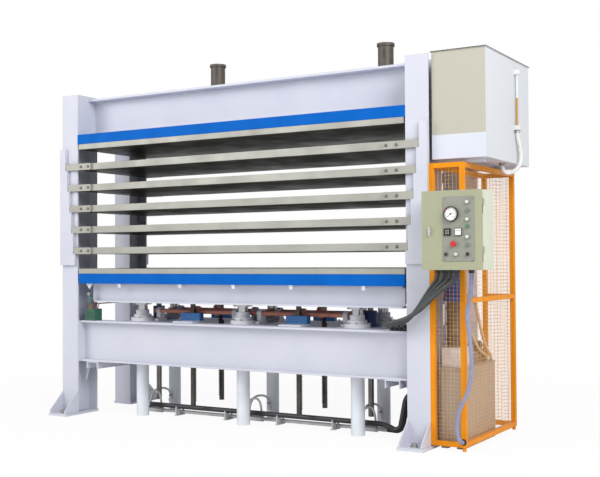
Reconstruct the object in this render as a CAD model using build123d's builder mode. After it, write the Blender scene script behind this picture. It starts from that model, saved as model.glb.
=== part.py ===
from build123d import *
import os
from math import cos, pi, radians, sin, tan

# Up-stroke hot press with several daylights, in millimetres.
# X runs along the platens towards the power unit, Y to the back, Z up.
# The origin is on the floor, midway between the four columns.

# Shared clearances
overrun = 5.0
slide_clearance = 3.0
running_clearance = 0.05
seat_clearance = 0.3
bend_share = 0.45

# Columns: rolled H sections on gusseted base plates
platen_end_gap = 12.5
frame_depth = 920.0
column_height = 2735.0
column_width = 175.0
column_depth = 244.0
column_flange = 14.0
column_web = 10.0
closing_plate = 12.0
base_plate_thickness = 20.0
base_plate_front = 155.0
base_plate_side = 12.0
gusset_thickness = 10.0
gusset_height = 170.0
gusset_toe = 25.0
anchor_setback = 85.0
anchor_hole_radius = 13.0

# Bed: two I beams between the columns, tied by box beams that carry the cylinders
bed_bottom = 452.0
bed_height = 347.0
bed_flange_width = 136.0
bed_flange = 16.0
bed_web = 10.0
bed_setback = 32.0
haunch_reach = 65.0
haunch_height = 180.0
haunch_thickness = 12.0
cross_beam_width = 300.0
cross_beam_height = 300.0
cross_beam_wall = 25.0
end_tie_width = 120.0
end_tie_height = 60.0
end_tie_wall = 8.0
end_tie_inset = 70.0

# Moving bolster, platens and daylights
bolster_rest_gap = 158.0
bolster_beam_height = 158.0
bolster_beam_width = 100.0
bolster_beam_flange = 14.0
bolster_beam_web = 10.0
bolster_left_gap = 87.5
bolster_right_gap = 52.5
bolster_rib_width = 200.0
rack_rib_width = 80.0
table_thickness = 85.0
bottom_platen_thickness = 42.0
platen_length = 3050.0
platen_thickness = 56.0
platen_count = 5
daylight = 123.0
platen_edge_round = 4.0

# Fixed head: top platen, top table and two I beams with cross ties
top_platen_thickness = 45.0
top_table_thickness = 84.0
top_beam_height = 321.0
top_beam_width = 190.0
top_beam_flange = 18.0
top_beam_web = 11.0
top_beam_setback = 134.0
top_tie_width = 160.0
top_tie_wall = 14.0
top_tie_pitch = 780.0
top_tie_count = 4

# Lifting posts on two of the top ties
post_radius = 60.0
post_wall = 9.0
post_height = 235.0
post_rim_radius = 68.0
post_rim_height = 22.0

# Lug bars on the platen edges and the stepped ladder boards that carry them
lug_thickness = 22.0
lug_inner_length = 165.0
lug_first_overhang = 25.0
lug_step = 22.0
ladder_thickness = 30.0
ladder_tail = 94.0
ladder_head = 128.0

# Hydraulic cylinders, two rows of three
cylinder_pitch = 1025.0
cylinder_row_width = 440.0
cylinder_count = 3
ram_radius = 42.5
barrel_bore_radius = 43.5
barrel_radius = 52.0
barrel_cap = 22.0
ram_bottom_gap = 8.0
gland_base_radius = 97.5
gland_base_height = 30.0
gland_step_radius = 75.0
gland_step_height = 25.0
gland_neck_radius = 56.0
gland_neck_height = 38.0
ram_head_radius = 75.0
ram_head_height = 20.0
port_radius = 16.0
port_length = 22.0
port_height = 85.0
port_stub_radius = 10.0
port_stub_height = 34.0

# Rack and pinion shafts that keep the bolster level
gear_module = 6.0
pinion_teeth = 14
addendum_share = 0.8
dedendum_share = 1.05
pinion_root_share = 0.22
pinion_tip_share = 0.12
rack_root_share = 0.344
rack_tip_share = 0.13
pinion_width = 40.0
shaft_radius = 18.0
shaft_y = 140.0
shaft_height = 83.0
shaft_length = 1920.0
rack_x = 507.0
rack_width = 32.0
rack_back = 28.0
rack_length = 845.0
housing_width = 195.0
housing_height = 76.0
housing_reach = 24.0
housing_foot = 12.0
housing_foot_reach = 110.0
housing_corner = 8.0
bearing_length = 40.0
bearing_base_width = 120.0
bearing_base_height = 20.0
bearing_body_width = 60.0
bearing_ring_radius = 34.0
bearing_inset = 130.0
bearing_mid_x = 120.0

# Guide rods at the ends of the bolster
guide_rod_radius = 22.5
guide_rod_length = 848.0
sleeve_radius = 50.0
sleeve_height = 116.0
sleeve_flange_radius = 70.0
sleeve_flange_height = 16.0
rod_hole_gap = 3.0

# Oil lines along the floor
pressure_line_radius = 20.0
return_line_radius = 14.0
pressure_line_z = 76.0
return_line_z = 26.0
line_y = 90.0
line_gap_y = 44.0
line_left_x = 1180.0
line_right_x = 1184.0
pressure_inlet_z = 470.0
return_inlet_z = 410.0
tee_radius = 22.0
tee_length = 150.0
stand_width = 30.0
stand_foot_depth = 110.0
stand_thickness = 8.0
stand_pitch = 500.0
stand_count = 4
cylinder_hose_radius = 9.0
hose_arch = 75.0
hose_side = 60.0

# Limit switch at the left end
switch_inset = 112.5
switch_width = 110.0
switch_depth = 84.0
switch_height = 100.0
switch_fin = 6.0
switch_fin_count = 6
switch_post_width = 46.0
switch_post_height = 92.0
lever_thickness = 10.0
lever_length = 78.0
lever_half_width = 20.0
lever_pin_radius = 6.0
lever_gap = 1.0
striker_width = 68.0
striker_height = 46.0
striker_thickness = 14.0

# Oil tank on the power-unit end
tank_gap = 14.0
tank_width = 392.0
tank_depth = 922.0
tank_height = 748.0
tank_wall = 5.0
tank_lid = 6.0
tank_lid_lip = 8.0
tank_arm_height = 25.0
tank_front_setback = 30.0
tank_arm_width = 60.0
tank_arm_end_gap = 40.0
gauge_block = 34.0
gauge_top_height = 664.0
gauge_bottom_height = 259.0
gauge_y = 175.0
gauge_tube_radius = 8.0
tank_hose_radius = 15.0
tank_hose_bulge = 90.0
tank_hose_swing = 95.0

# Cage round the power unit
cage_width = 255.0
cage_depth = 1058.0
cage_height = 1966.0
cage_tube = 34.0
cage_front_setback = 2.0
cage_bottom_rail_z = 28.0
cage_foot_radius = 13.0
cage_mid_rail_z = 1002.0
mesh_thickness = 4.0
mesh_bar = 10.0
mesh_side_columns = 9
mesh_side_rows = 6
mesh_end_columns = 2
mesh_end_rows = 6

# Power unit in the cage
reservoir_width = 165.0
reservoir_depth = 630.0
reservoir_height = 505.0
reservoir_bottom = 40.0
reservoir_wall = 5.0
reservoir_lid = 10.0
reservoir_lid_lip = 8.0
reservoir_gap = 42.0
reservoir_front_setback = 82.0
skid_width = 50.0
manifold_width = 130.0
manifold_depth = 210.0
manifold_height = 135.0
manifold_setback = 20.0
manifold_shift = 17.0
pump_radius = 45.0
pump_height = 320.0
pump_collar_radius = 56.0
pump_collar_height = 24.0
pump_collar_count = 3
motor_shift = 35.0
motor_flange_radius = 70.0
motor_flange_height = 30.0
motor_radius = 62.0
motor_height = 300.0
motor_fin_radius = 68.0
motor_fin_height = 8.0
motor_fin_count = 9
motor_cap_height = 46.0
valve_rail_width = 96.0
valve_rail_depth = 290.0
valve_rail_height = 90.0
valve_rail_gap = 30.0
valve_width = 64.0
valve_length = 66.0
valve_height = 60.0
valve_count = 3
valve_pitch = 95.0
coil_radius = 24.0
coil_length = 14.0
feed_hose_radius = 11.0
feed_inset = 16.0
feed_foot = 45.0
feed_gap = 23.0

# Control cabinet and its door
cabinet_left_gap = 48.0
cabinet_width = 420.0
cabinet_height = 525.0
cabinet_depth = 203.0
cabinet_bottom = 1232.0
cabinet_wall = 3.0
door_depth = 20.0
door_gap = 2.0
door_wall = 3.0
rail_height = 50.0
rail_thickness = 12.0
rail_inset = 68.0
hinge_radius = 6.0
hinge_length = 46.0
hinge_offset = 7.0
hinge_leaf = 4.0
hinge_leaf_reach = 20.0
hinge_inset = 60.0
gland_radius = 18.0
gland_length = 24.0
conduit_radius = 15.0
conduit_count = 4
conduit_pitch = 60.0
conduit_first = 32.0
conduit_end_gap = 37.5
conduit_end_pitch = 34.0
conduit_end_inset = 26.0
conduit_standoff = 40.0
unit_hose_radius = 14.0
unit_hose_x = 302.0
unit_hose_sway = 100.0
unit_hose_end_z = 66.0
unit_hose_standoff = 40.0

# Controls on the door
panel_width = 218.0
panel_height = 424.0
panel_thickness = 4.0
panel_right_inset = 50.0
panel_bottom_inset = 58.0
dial_radius = 50.0
dial_depth = 22.0
dial_rim = 6.0
dial_recess = 5.0
meter_side = 48.0
meter_depth = 9.0
button_radius = 11.0
button_gap = 0.4
button_reach = 14.0
button_tail = 12.0
bezel_radius = 15.0
bezel_height = 7.0
mushroom_radius = 20.0
mushroom_depth = 12.0
mushroom_gap = 8.0
lamp_reach = 16.0
knob_bar_width = 8.0
knob_bar_depth = 12.0
knob_reach = 9.0
latch_radius = 9.0
latch_depth = 10.0
latch_bar_length = 60.0
latch_bar_width = 12.0
latch_bar_depth = 8.0
latch_x_inset = 58.0
latch_z_share = 0.49

# Heights that follow from the sizes above
bed_top = bed_bottom + bed_height
bolster_bottom = bed_top + bolster_rest_gap
table_bottom = bolster_bottom + bolster_beam_height
bottom_platen_bottom = table_bottom + table_thickness
bottom_platen_top = bottom_platen_bottom + bottom_platen_thickness
platen_pitch = platen_thickness + daylight
top_platen_bottom = bottom_platen_top + platen_count * platen_pitch + daylight
top_table_bottom = top_platen_bottom + top_platen_thickness
top_beam_bottom = top_table_bottom + top_table_thickness
top_beam_top = top_beam_bottom + top_beam_height

# Places that follow from the sizes above
front_face = frame_depth / 2
half_span = platen_length / 2 + platen_end_gap
column_x = half_span + column_width / 2
column_y = front_face - column_depth / 2
column_outer = half_span + column_width
platen_depth = frame_depth + 2 * slide_clearance
platen_front = platen_depth / 2
bed_beam_y = front_face - bed_setback - bed_flange_width / 2
bed_inner_y = bed_beam_y - bed_flange_width / 2
bed_edge_y = bed_beam_y + bed_flange_width / 2
reservoir_left = column_outer + reservoir_gap
standing = (Align.CENTER, Align.CENTER, Align.MIN)


def save(piece, name):
    """Labels a finished piece and writes it to its own STEP file."""
    piece.part.label = name
    export_step(piece.part, f"parts/{name}.step")


def i_section(across, up, height, width, flange, web):
    """Draws an upright I section in the open sketch, centred at (across, up)."""
    for edge in (-1, 1):
        with Locations((across, up + edge * (height - flange) / 2)):
            Rectangle(width, flange)
    with Locations((across, up)):
        Rectangle(web, height)


def hose(route, radius):
    """Sweeps a round hose along straight runs joined by the largest arcs that fit."""
    points = [Vector(*point) for point in route]
    bends = []
    for before, corner, after in zip(points, points[1:], points[2:]):
        run = min((corner - before).length, (after - corner).length)
        turn = radians((corner - before).get_angle(after - corner))
        bends.append(bend_share * run / tan(turn / 2))
    with BuildLine() as path:
        FilletPolyline(*points, radius=bends)
    with BuildSketch(Plane(origin=path.line @ 0, z_dir=path.line % 0)) as section:
        Circle(radius)
    sweep(section.sketch, path=path.line)


os.makedirs("parts", exist_ok=True)

# Columns
with BuildPart() as column_front_left:
    with BuildSketch(Plane.XY.offset(base_plate_thickness)):
        i_section(-column_x, -column_y, column_depth, column_width, column_flange, column_web)
    extrude(amount=column_height - base_plate_thickness)
    with BuildSketch():
        with Locations((-column_x, -(front_face + base_plate_front))):
            Rectangle(
                column_width + 2 * base_plate_side,
                column_depth + base_plate_front,
                align=(Align.CENTER, Align.MIN),
            )
        with Locations((-column_x, -(front_face + anchor_setback))):
            Circle(anchor_hole_radius, mode=Mode.SUBTRACT)
    extrude(amount=base_plate_thickness)
    # two triangular gussets flush with the flange edges
    for edge in (-1, 1):
        with BuildSketch(Plane.YZ.offset(-column_x + edge * (column_width - gusset_thickness) / 2)):
            with BuildLine():
                Polyline(
                    (-front_face, base_plate_thickness),
                    (-front_face - base_plate_front, base_plate_thickness),
                    (-front_face - base_plate_front, base_plate_thickness + gusset_toe),
                    (-front_face, base_plate_thickness + gusset_height),
                    close=True,
                )
            make_face()
        extrude(amount=gusset_thickness / 2, both=True)
    # plates that close the section where the beams are welded on
    for low, high in ((bed_bottom, bed_top), (top_platen_bottom, column_height)):
        with Locations((-half_span - closing_plate / 2, -column_y, low)):
            Box(closing_plate, column_depth - 2 * column_flange, high - low, align=standing)

with BuildPart() as column_front_right:
    mirror(column_front_left.part, about=Plane.YZ)

with BuildPart() as column_rear_left:
    mirror(column_front_left.part, about=Plane.XZ)

with BuildPart() as column_rear_right:
    mirror(column_front_right.part, about=Plane.XZ)

save(column_front_left, "column_front_left")
save(column_front_right, "column_front_right")
save(column_rear_left, "column_rear_left")
save(column_rear_right, "column_rear_right")

# Bed beams with a haunch under each end
with BuildPart() as bed_beams:
    with BuildSketch(Plane.YZ):
        i_section(
            -bed_beam_y, bed_bottom + bed_height / 2, bed_height, bed_flange_width, bed_flange, bed_web
        )
    extrude(amount=half_span, both=True)
    with BuildSketch(Plane.XZ.offset(bed_beam_y)):
        for side in (-1, 1):
            with BuildLine():
                Polyline(
                    (side * half_span, bed_bottom),
                    (side * (half_span - haunch_reach), bed_bottom),
                    (side * half_span, bed_bottom - haunch_height),
                    close=True,
                )
            make_face()
    extrude(amount=haunch_thickness / 2, both=True)
    mirror(about=Plane.XZ)
save(bed_beams, "bed_beams")

# Box beams across the bed under each pair of cylinders, and a light channel at each end
end_tie_x = half_span - end_tie_inset - end_tie_width / 2
with BuildPart() as bed_cross_beams:
    with BuildSketch(Plane.XZ):
        with Locations((0, bed_top - cross_beam_height / 2)):
            with GridLocations(cylinder_pitch, 0, cylinder_count, 1):
                Rectangle(cross_beam_width, cross_beam_height)
                Rectangle(
                    cross_beam_width - 2 * cross_beam_wall,
                    cross_beam_height - 2 * cross_beam_wall,
                    mode=Mode.SUBTRACT,
                )
    extrude(amount=bed_inner_y, both=True)
    with GridLocations(cylinder_pitch, cylinder_row_width, cylinder_count, 2):
        Hole(barrel_radius + seat_clearance)
    with GridLocations(2 * cylinder_pitch, 0, 2, 1):
        Hole(guide_rod_radius + rod_hole_gap)
    with BuildSketch(Plane.XZ):
        for side in (-1, 1):
            with Locations((side * end_tie_x, bed_bottom - end_tie_height / 2)):
                Rectangle(end_tie_width, end_tie_height)
            with Locations((side * end_tie_x, bed_bottom - end_tie_wall)):
                Rectangle(
                    end_tie_width - 2 * end_tie_wall,
                    end_tie_height,
                    align=(Align.CENTER, Align.MAX),
                    mode=Mode.SUBTRACT,
                )
    extrude(amount=bed_edge_y, both=True)
save(bed_cross_beams, "bed_cross_beams")

# Top beams
top_beam_y = front_face - top_beam_setback - top_beam_width / 2
with BuildPart() as top_beams:
    with BuildSketch(Plane.YZ):
        i_section(
            -top_beam_y,
            top_beam_bottom + top_beam_height / 2,
            top_beam_height,
            top_beam_width,
            top_beam_flange,
            top_beam_web,
        )
    extrude(amount=half_span, both=True)
    mirror(about=Plane.XZ)
save(top_beams, "top_beams")

# Box ties across the head
with BuildPart() as top_cross_beams:
    with BuildSketch(Plane.XZ):
        with Locations((0, top_beam_bottom + top_beam_height / 2)):
            with GridLocations(top_tie_pitch, 0, top_tie_count, 1):
                Rectangle(top_tie_width, top_beam_height)
                Rectangle(
                    top_tie_width - 2 * top_tie_wall,
                    top_beam_height - 2 * top_tie_wall,
                    mode=Mode.SUBTRACT,
                )
    extrude(amount=top_beam_y - top_beam_width / 2, both=True)
save(top_cross_beams, "top_cross_beams")

# Top table and the fixed top platen
with BuildPart() as top_table:
    with Locations((0, 0, top_table_bottom)):
        Box(2 * half_span, platen_depth, top_table_thickness, align=standing)
    chamfer(top_table.edges().filter_by(Axis.X), platen_edge_round / 2)
save(top_table, "top_table")

with BuildPart() as top_platen:
    with Locations((0, 0, top_platen_bottom)):
        Box(platen_length, platen_depth, top_platen_thickness, align=standing)
    chamfer(top_platen.faces().sort_by(Axis.Z)[0].edges(), platen_edge_round / 2)
save(top_platen, "top_platen")

# Lifting posts: rimmed tube stubs on two of the ties
post_places = [(-top_tie_pitch / 2, 0, top_beam_top), (1.5 * top_tie_pitch, 0, top_beam_top)]
with BuildPart() as lifting_posts:
    with Locations(*post_places):
        Cylinder(post_radius, post_height, align=standing)
    with Locations(*[(x, y, z + post_height - post_rim_height) for x, y, z in post_places]):
        Cylinder(post_rim_radius, post_rim_height, align=standing)
    with Locations(*post_places):
        Cylinder(post_radius - post_wall, post_height + overrun, align=standing, mode=Mode.SUBTRACT)
save(lifting_posts, "lifting_posts")

# Platens, each with a bolted lug bar at the four ends of its long edges
for number in range(1, platen_count + 1):
    steps_up = platen_count - number
    platen_bottom = bottom_platen_top + daylight + steps_up * platen_pitch
    overhang = lug_first_overhang + steps_up * lug_step
    with BuildPart() as platen:
        with Locations((0, 0, platen_bottom)):
            Box(platen_length, platen_depth, platen_thickness, align=standing)
        chamfer(platen.edges().filter_by(Axis.X), platen_edge_round / 2)
    with BuildPart() as lug_bars:
        with BuildSketch(Plane.XZ.offset(platen_front)):
            with Locations((half_span + overhang, platen_bottom + platen_thickness / 2)):
                RectangleRounded(
                    lug_inner_length + overhang,
                    platen_thickness,
                    platen_edge_round,
                    align=(Align.MAX, Align.CENTER),
                )
            mirror(about=Plane.YZ)
        extrude(amount=lug_thickness)
        mirror(about=Plane.XZ)
    with BuildPart() as platen_with_lugs:
        add(platen.part)
        add(lug_bars.part)
    save(platen_with_lugs, f"platen_{number}")

# Ladder boards: the step under each platen is narrower than the one below it
ladder_bottom = bottom_platen_top + daylight - ladder_tail
ladder_top = bottom_platen_top + daylight + platen_count * platen_pitch - daylight + ladder_head
with BuildPart() as ladder_boards:
    with BuildSketch(Plane.XZ.offset(front_face)):
        with BuildLine():
            stairs = [(column_outer, ladder_bottom)]
            level = ladder_bottom
            for steps_up in range(platen_count):
                tread = lug_first_overhang + (steps_up - 1) * lug_step + slide_clearance
                stairs.append((half_span + tread, level))
                level = bottom_platen_top + daylight + steps_up * platen_pitch
                stairs.append((half_span + tread, level))
            clear_edge = lug_first_overhang + (platen_count - 1) * lug_step + slide_clearance
            stairs.append((half_span + clear_edge, level))
            stairs.append((half_span + clear_edge, ladder_top))
            stairs.append((column_outer, ladder_top))
            Polyline(*stairs, close=True)
        make_face()
        mirror(about=Plane.YZ)
    extrude(amount=ladder_thickness)
    mirror(about=Plane.XZ)
save(ladder_boards, "ladder_boards")

# Moving bolster: two I beams, with ribs over the cylinders and the racks
with BuildPart() as bolster_beams:
    with BuildSketch(Plane.YZ.offset(bolster_left_gap - half_span)):
        for side in (-1, 1):
            i_section(
                side * bed_beam_y,
                bolster_bottom + bolster_beam_height / 2,
                bolster_beam_height,
                bolster_beam_width,
                bolster_beam_flange,
                bolster_beam_web,
            )
    extrude(amount=2 * half_span - bolster_left_gap - bolster_right_gap)
    with BuildSketch(Plane.XZ):
        with Locations((0, bolster_bottom + bolster_beam_height / 2)):
            with GridLocations(cylinder_pitch, 0, cylinder_count, 1):
                Rectangle(bolster_rib_width, bolster_beam_height)
            with GridLocations(2 * rack_x, 0, 2, 1):
                Rectangle(rack_rib_width, bolster_beam_height)
    extrude(amount=bed_beam_y, both=True)
save(bolster_beams, "bolster_beams")

with BuildPart() as bolster_table:
    with Locations((0, 0, table_bottom)):
        Box(platen_length, platen_depth, table_thickness, align=standing)
    chamfer(bolster_table.edges().filter_by(Axis.X), platen_edge_round / 2)
save(bolster_table, "bolster_table")

with BuildPart() as bottom_platen:
    with Locations((0, 0, bottom_platen_bottom)):
        Box(platen_length, platen_depth, bottom_platen_thickness, align=standing)
    chamfer(bottom_platen.faces().sort_by(Axis.Z)[-1].edges(), platen_edge_round / 2)
save(bottom_platen, "bottom_platen")

# Cylinder barrels stand on the floor and pass up through the box beams
port_y = cylinder_row_width / 2 - barrel_radius - port_length
stub_y = port_y + port_length / 2
with BuildPart() as cylinder_barrels:
    with GridLocations(cylinder_pitch, cylinder_row_width, cylinder_count, 2):
        Cylinder(barrel_radius, bed_top, align=standing)
    # oil ports towards the middle, each with an upright stub for its hose
    for row in (-1, 1):
        with BuildSketch(Plane.XZ.offset(-row * port_y)):
            with GridLocations(cylinder_pitch, 0, cylinder_count, 1):
                with Locations((0, port_height)):
                    Circle(port_radius)
        extrude(amount=-row * (port_length + barrel_radius - barrel_bore_radius - running_clearance))
    with GridLocations(cylinder_pitch, 2 * stub_y, cylinder_count, 2):
        with Locations((0, 0, port_height)):
            Cylinder(port_stub_radius, port_stub_height, align=standing)
    with GridLocations(cylinder_pitch, cylinder_row_width, cylinder_count, 2):
        with Locations((0, 0, barrel_cap)):
            Cylinder(barrel_bore_radius, bed_top, align=standing, mode=Mode.SUBTRACT)
save(cylinder_barrels, "cylinder_barrels")

# Stepped gland flanges on the bed, with the running fit for the rams
gland_profile = [
    (ram_radius + running_clearance, 0),
    (gland_base_radius, 0),
    (gland_base_radius, gland_base_height),
    (gland_step_radius, gland_base_height),
    (gland_step_radius, gland_base_height + gland_step_height),
    (gland_neck_radius, gland_base_height + gland_step_height),
    (gland_neck_radius, gland_base_height + gland_step_height + gland_neck_height),
    (ram_radius + running_clearance, gland_base_height + gland_step_height + gland_neck_height),
]
with BuildPart() as gland:
    with BuildSketch(Plane.XZ):
        with BuildLine():
            Polyline(*gland_profile, close=True)
        make_face()
    revolve(axis=Axis.Z)
with BuildPart() as cylinder_glands:
    with GridLocations(cylinder_pitch, cylinder_row_width, cylinder_count, 2):
        with Locations((0, 0, bed_top)):
            add(gland.part)
save(cylinder_glands, "cylinder_glands")

# Rams with a round head under the bolster
ram_bottom = barrel_cap + ram_bottom_gap
with BuildPart() as ram:
    with BuildSketch(Plane.XZ):
        with BuildLine():
            Polyline(
                (0, ram_bottom),
                (ram_radius, ram_bottom),
                (ram_radius, bolster_bottom - ram_head_height),
                (ram_head_radius, bolster_bottom - ram_head_height),
                (ram_head_radius, bolster_bottom),
                (0, bolster_bottom),
                close=True,
            )
        make_face()
    revolve(axis=Axis.Z)
with BuildPart() as rams:
    with GridLocations(cylinder_pitch, cylinder_row_width, cylinder_count, 2):
        add(ram.part)
save(rams, "rams")

# Synchronising gear: the rack pitch line touches the pinion's pitch circle
tooth_pitch = pi * gear_module
pitch_radius = gear_module * pinion_teeth / 2
addendum = addendum_share * gear_module
dedendum = dedendum_share * gear_module
shaft_z = bed_top + shaft_height
pitch_line_y = shaft_y + pitch_radius

# Racks: a gap between two teeth faces the pinion at rest
rack_top = bolster_bottom
rack_bottom = rack_top - rack_length
root_y = pitch_line_y + dedendum
tip_y = pitch_line_y - addendum
teeth_above = int((rack_top - shaft_z) / tooth_pitch - 1)
teeth_below = int((shaft_z - rack_bottom) / tooth_pitch - 1)
with BuildPart() as racks:
    with BuildSketch(Plane.YZ.offset(rack_x)):
        with BuildLine():
            outline = [(-root_y - rack_back, rack_bottom), (-root_y, rack_bottom)]
            for tooth in range(-teeth_below, teeth_above):
                middle = shaft_z + (tooth + 0.5) * tooth_pitch
                outline.append((-root_y, middle - rack_root_share * tooth_pitch))
                outline.append((-tip_y, middle - rack_tip_share * tooth_pitch))
                outline.append((-tip_y, middle + rack_tip_share * tooth_pitch))
                outline.append((-root_y, middle + rack_root_share * tooth_pitch))
            outline.append((-root_y, rack_top))
            outline.append((-root_y - rack_back, rack_top))
            Polyline(*outline, close=True)
        make_face()
    extrude(amount=rack_width / 2, both=True)
    mirror(about=Plane.YZ)
    mirror(about=Plane.XZ)
save(racks, "racks")

# Pinion outline with a tooth pointing at the rack
tooth_angle = 2 * pi / pinion_teeth
root_radius = pitch_radius - dedendum
tip_radius = pitch_radius + addendum
pinion_outline = []
for tooth in range(pinion_teeth):
    for radius, offset in (
        (root_radius, -pinion_root_share * tooth_pitch / root_radius),
        (tip_radius, -pinion_tip_share * tooth_pitch / tip_radius),
        (tip_radius, pinion_tip_share * tooth_pitch / tip_radius),
        (root_radius, pinion_root_share * tooth_pitch / root_radius),
    ):
        turn = pi + tooth * tooth_angle + offset
        pinion_outline.append((-shaft_y + radius * cos(turn), shaft_z + radius * sin(turn)))

with BuildPart() as sync_shaft_front:
    with BuildSketch(Plane.YZ):
        with Locations((-shaft_y, shaft_z)):
            Circle(shaft_radius)
    extrude(amount=shaft_length / 2, both=True)
    for side in (-1, 1):
        with BuildSketch(Plane.YZ.offset(side * rack_x)):
            with BuildLine():
                Polyline(*pinion_outline, close=True)
            make_face()
        extrude(amount=pinion_width / 2, both=True)
save(sync_shaft_front, "sync_shaft_front")

with BuildPart() as sync_shaft_rear:
    mirror(sync_shaft_front.part, about=Plane.XZ)
save(sync_shaft_rear, "sync_shaft_rear")

# Gear housings: a footed block on the bed flange with a slot that guides the rack's back
housing_front = root_y + rack_back + housing_reach
housing_rear = tip_radius + shaft_y + slide_clearance
with BuildPart() as gear_housings:
    with BuildSketch(Plane.XY.offset(bed_top)):
        with Locations((rack_x, -housing_rear)):
            Rectangle(housing_width, housing_front - housing_rear, align=(Align.CENTER, Align.MAX))
        with Locations((rack_x, -housing_rear + overrun)):
            Rectangle(
                rack_width + 2 * slide_clearance,
                root_y + rack_back + slide_clearance - housing_rear + overrun,
                align=(Align.CENTER, Align.MAX),
                mode=Mode.SUBTRACT,
            )
    extrude(amount=housing_height)
    fillet(
        gear_housings.edges().filter_by(Axis.Z).group_by(Axis.Y)[0],
        housing_corner,
    )
    with BuildSketch(Plane.XY.offset(bed_top)):
        with Locations((rack_x, -housing_front)):
            Rectangle(
                housing_width,
                housing_foot_reach,
                align=(Align.CENTER, Align.MAX),
            )
    extrude(amount=housing_foot)
    mirror(about=Plane.YZ)
    mirror(about=Plane.XZ)
save(gear_housings, "gear_housings")

# Pillow blocks for the two shafts
bearing_places = [bearing_mid_x, cylinder_pitch - bearing_inset]
with BuildPart() as shaft_bearings:
    for x in bearing_places:
        with BuildSketch(Plane.YZ.offset(x)):
            with Locations((-shaft_y, bed_top)):
                Rectangle(bearing_base_width, bearing_base_height, align=(Align.CENTER, Align.MIN))
                Rectangle(bearing_body_width, shaft_height, align=(Align.CENTER, Align.MIN))
            with Locations((-shaft_y, shaft_z)):
                Circle(bearing_ring_radius)
                Circle(shaft_radius + running_clearance, mode=Mode.SUBTRACT)
        extrude(amount=bearing_length / 2, both=True)
    mirror(about=Plane.YZ)
    mirror(about=Plane.XZ)
save(shaft_bearings, "shaft_bearings")

# Guide rods and their flanged sleeves
with BuildPart() as guide_rods:
    with GridLocations(2 * cylinder_pitch, 0, 2, 1):
        with Locations((0, 0, bolster_bottom - guide_rod_length)):
            Cylinder(guide_rod_radius, guide_rod_length, align=standing)
    chamfer(guide_rods.edges().group_by(Axis.Z)[0], platen_edge_round)
save(guide_rods, "guide_rods")

with BuildPart() as guide_sleeves:
    with GridLocations(2 * cylinder_pitch, 0, 2, 1):
        with Locations((0, 0, bed_top)):
            Cylinder(sleeve_flange_radius, sleeve_flange_height, align=standing)
            Cylinder(sleeve_radius, sleeve_height, align=standing)
    with GridLocations(2 * cylinder_pitch, 0, 2, 1):
        Hole(guide_rod_radius + running_clearance)
save(guide_sleeves, "guide_sleeves")

# Oil lines: a straight run past the cylinders, then a hose that dips to the floor and rises to the reservoir
pressure_y = -line_y
return_y = -line_y + line_gap_y
inlet_hose_shares = [(0.21, 0.047), (0.305, 0.615), (0.45, 0.72), (0.60, 0.76), (0.80, 1.0), (1.0, 1.0)]


def oil_line(y, z, inlet_z, radius):
    """Sweeps one oil line from its left end to the reservoir."""
    run = reservoir_left - line_right_x
    route = [(-line_left_x, y, z), (line_right_x, y, z)]
    route += [(line_right_x + along * run, y, up * inlet_z) for along, up in inlet_hose_shares]
    hose(route, radius)


with BuildPart() as pressure_pipe:
    oil_line(pressure_y, pressure_line_z, pressure_inlet_z, pressure_line_radius)
save(pressure_pipe, "pressure_pipe")

with BuildPart() as return_line:
    oil_line(return_y, return_line_z, return_inlet_z, return_line_radius)
    # tees below each cylinder pair
    with BuildSketch(Plane.YZ):
        with Locations((return_y, return_line_z)):
            Circle(tee_radius)
    extrude(amount=tee_length / 2, both=True)
    for side in (-1, 1):
        with BuildSketch(Plane.YZ.offset(side * cylinder_pitch)):
            with Locations((return_y, return_line_z)):
                Circle(tee_radius)
        extrude(amount=tee_length / 2, both=True)
with BuildPart() as pipe_stands:
    # a folded foot with a slotted web that both lines lie in
    stand_top = pressure_line_z
    with BuildSketch(Plane.YZ):
        with Locations(((pressure_y + return_y) / 2, 0)):
            Rectangle(stand_foot_depth, stand_top, align=(Align.CENTER, Align.MIN))
        with Locations((pressure_y, pressure_line_z)):
            Circle(pressure_line_radius + seat_clearance, mode=Mode.SUBTRACT)
        with Locations((return_y, return_line_z)):
            Circle(return_line_radius + seat_clearance, mode=Mode.SUBTRACT)
            Rectangle(
                2 * (return_line_radius + seat_clearance),
                stand_top,
                align=(Align.CENTER, Align.MIN),
                mode=Mode.SUBTRACT,
            )
    extrude(amount=stand_thickness / 2, both=True)
    with Locations((0, (pressure_y + return_y) / 2, 0)):
        Box(stand_width, stand_foot_depth, stand_thickness, align=standing)
with BuildPart() as return_pipe:
    add(return_line.part)
    with GridLocations(stand_pitch, 0, stand_count, 1):
        add(pipe_stands.part)
save(return_pipe, "return_pipe")

# Hoses that arch from the tees to the port stubs; the rear ones pass beside the guide rods
hose_start_z = return_line_z + tee_radius + seat_clearance
hose_end_z = port_height + port_stub_height + seat_clearance
hose_top_z = hose_end_z + hose_arch
with BuildPart() as cylinder_hoses:
    for place in (-1, 0, 1):
        x = place * cylinder_pitch
        for row in (-1, 1):
            tee_x = x - row * hose_side
            hose(
                [
                    (tee_x, return_y, hose_start_z),
                    (tee_x, return_y, hose_top_z),
                    (x, row * stub_y, hose_top_z),
                    (x, row * stub_y, hose_end_z),
                ],
                cylinder_hose_radius,
            )
save(cylinder_hoses, "cylinder_hoses")

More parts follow.
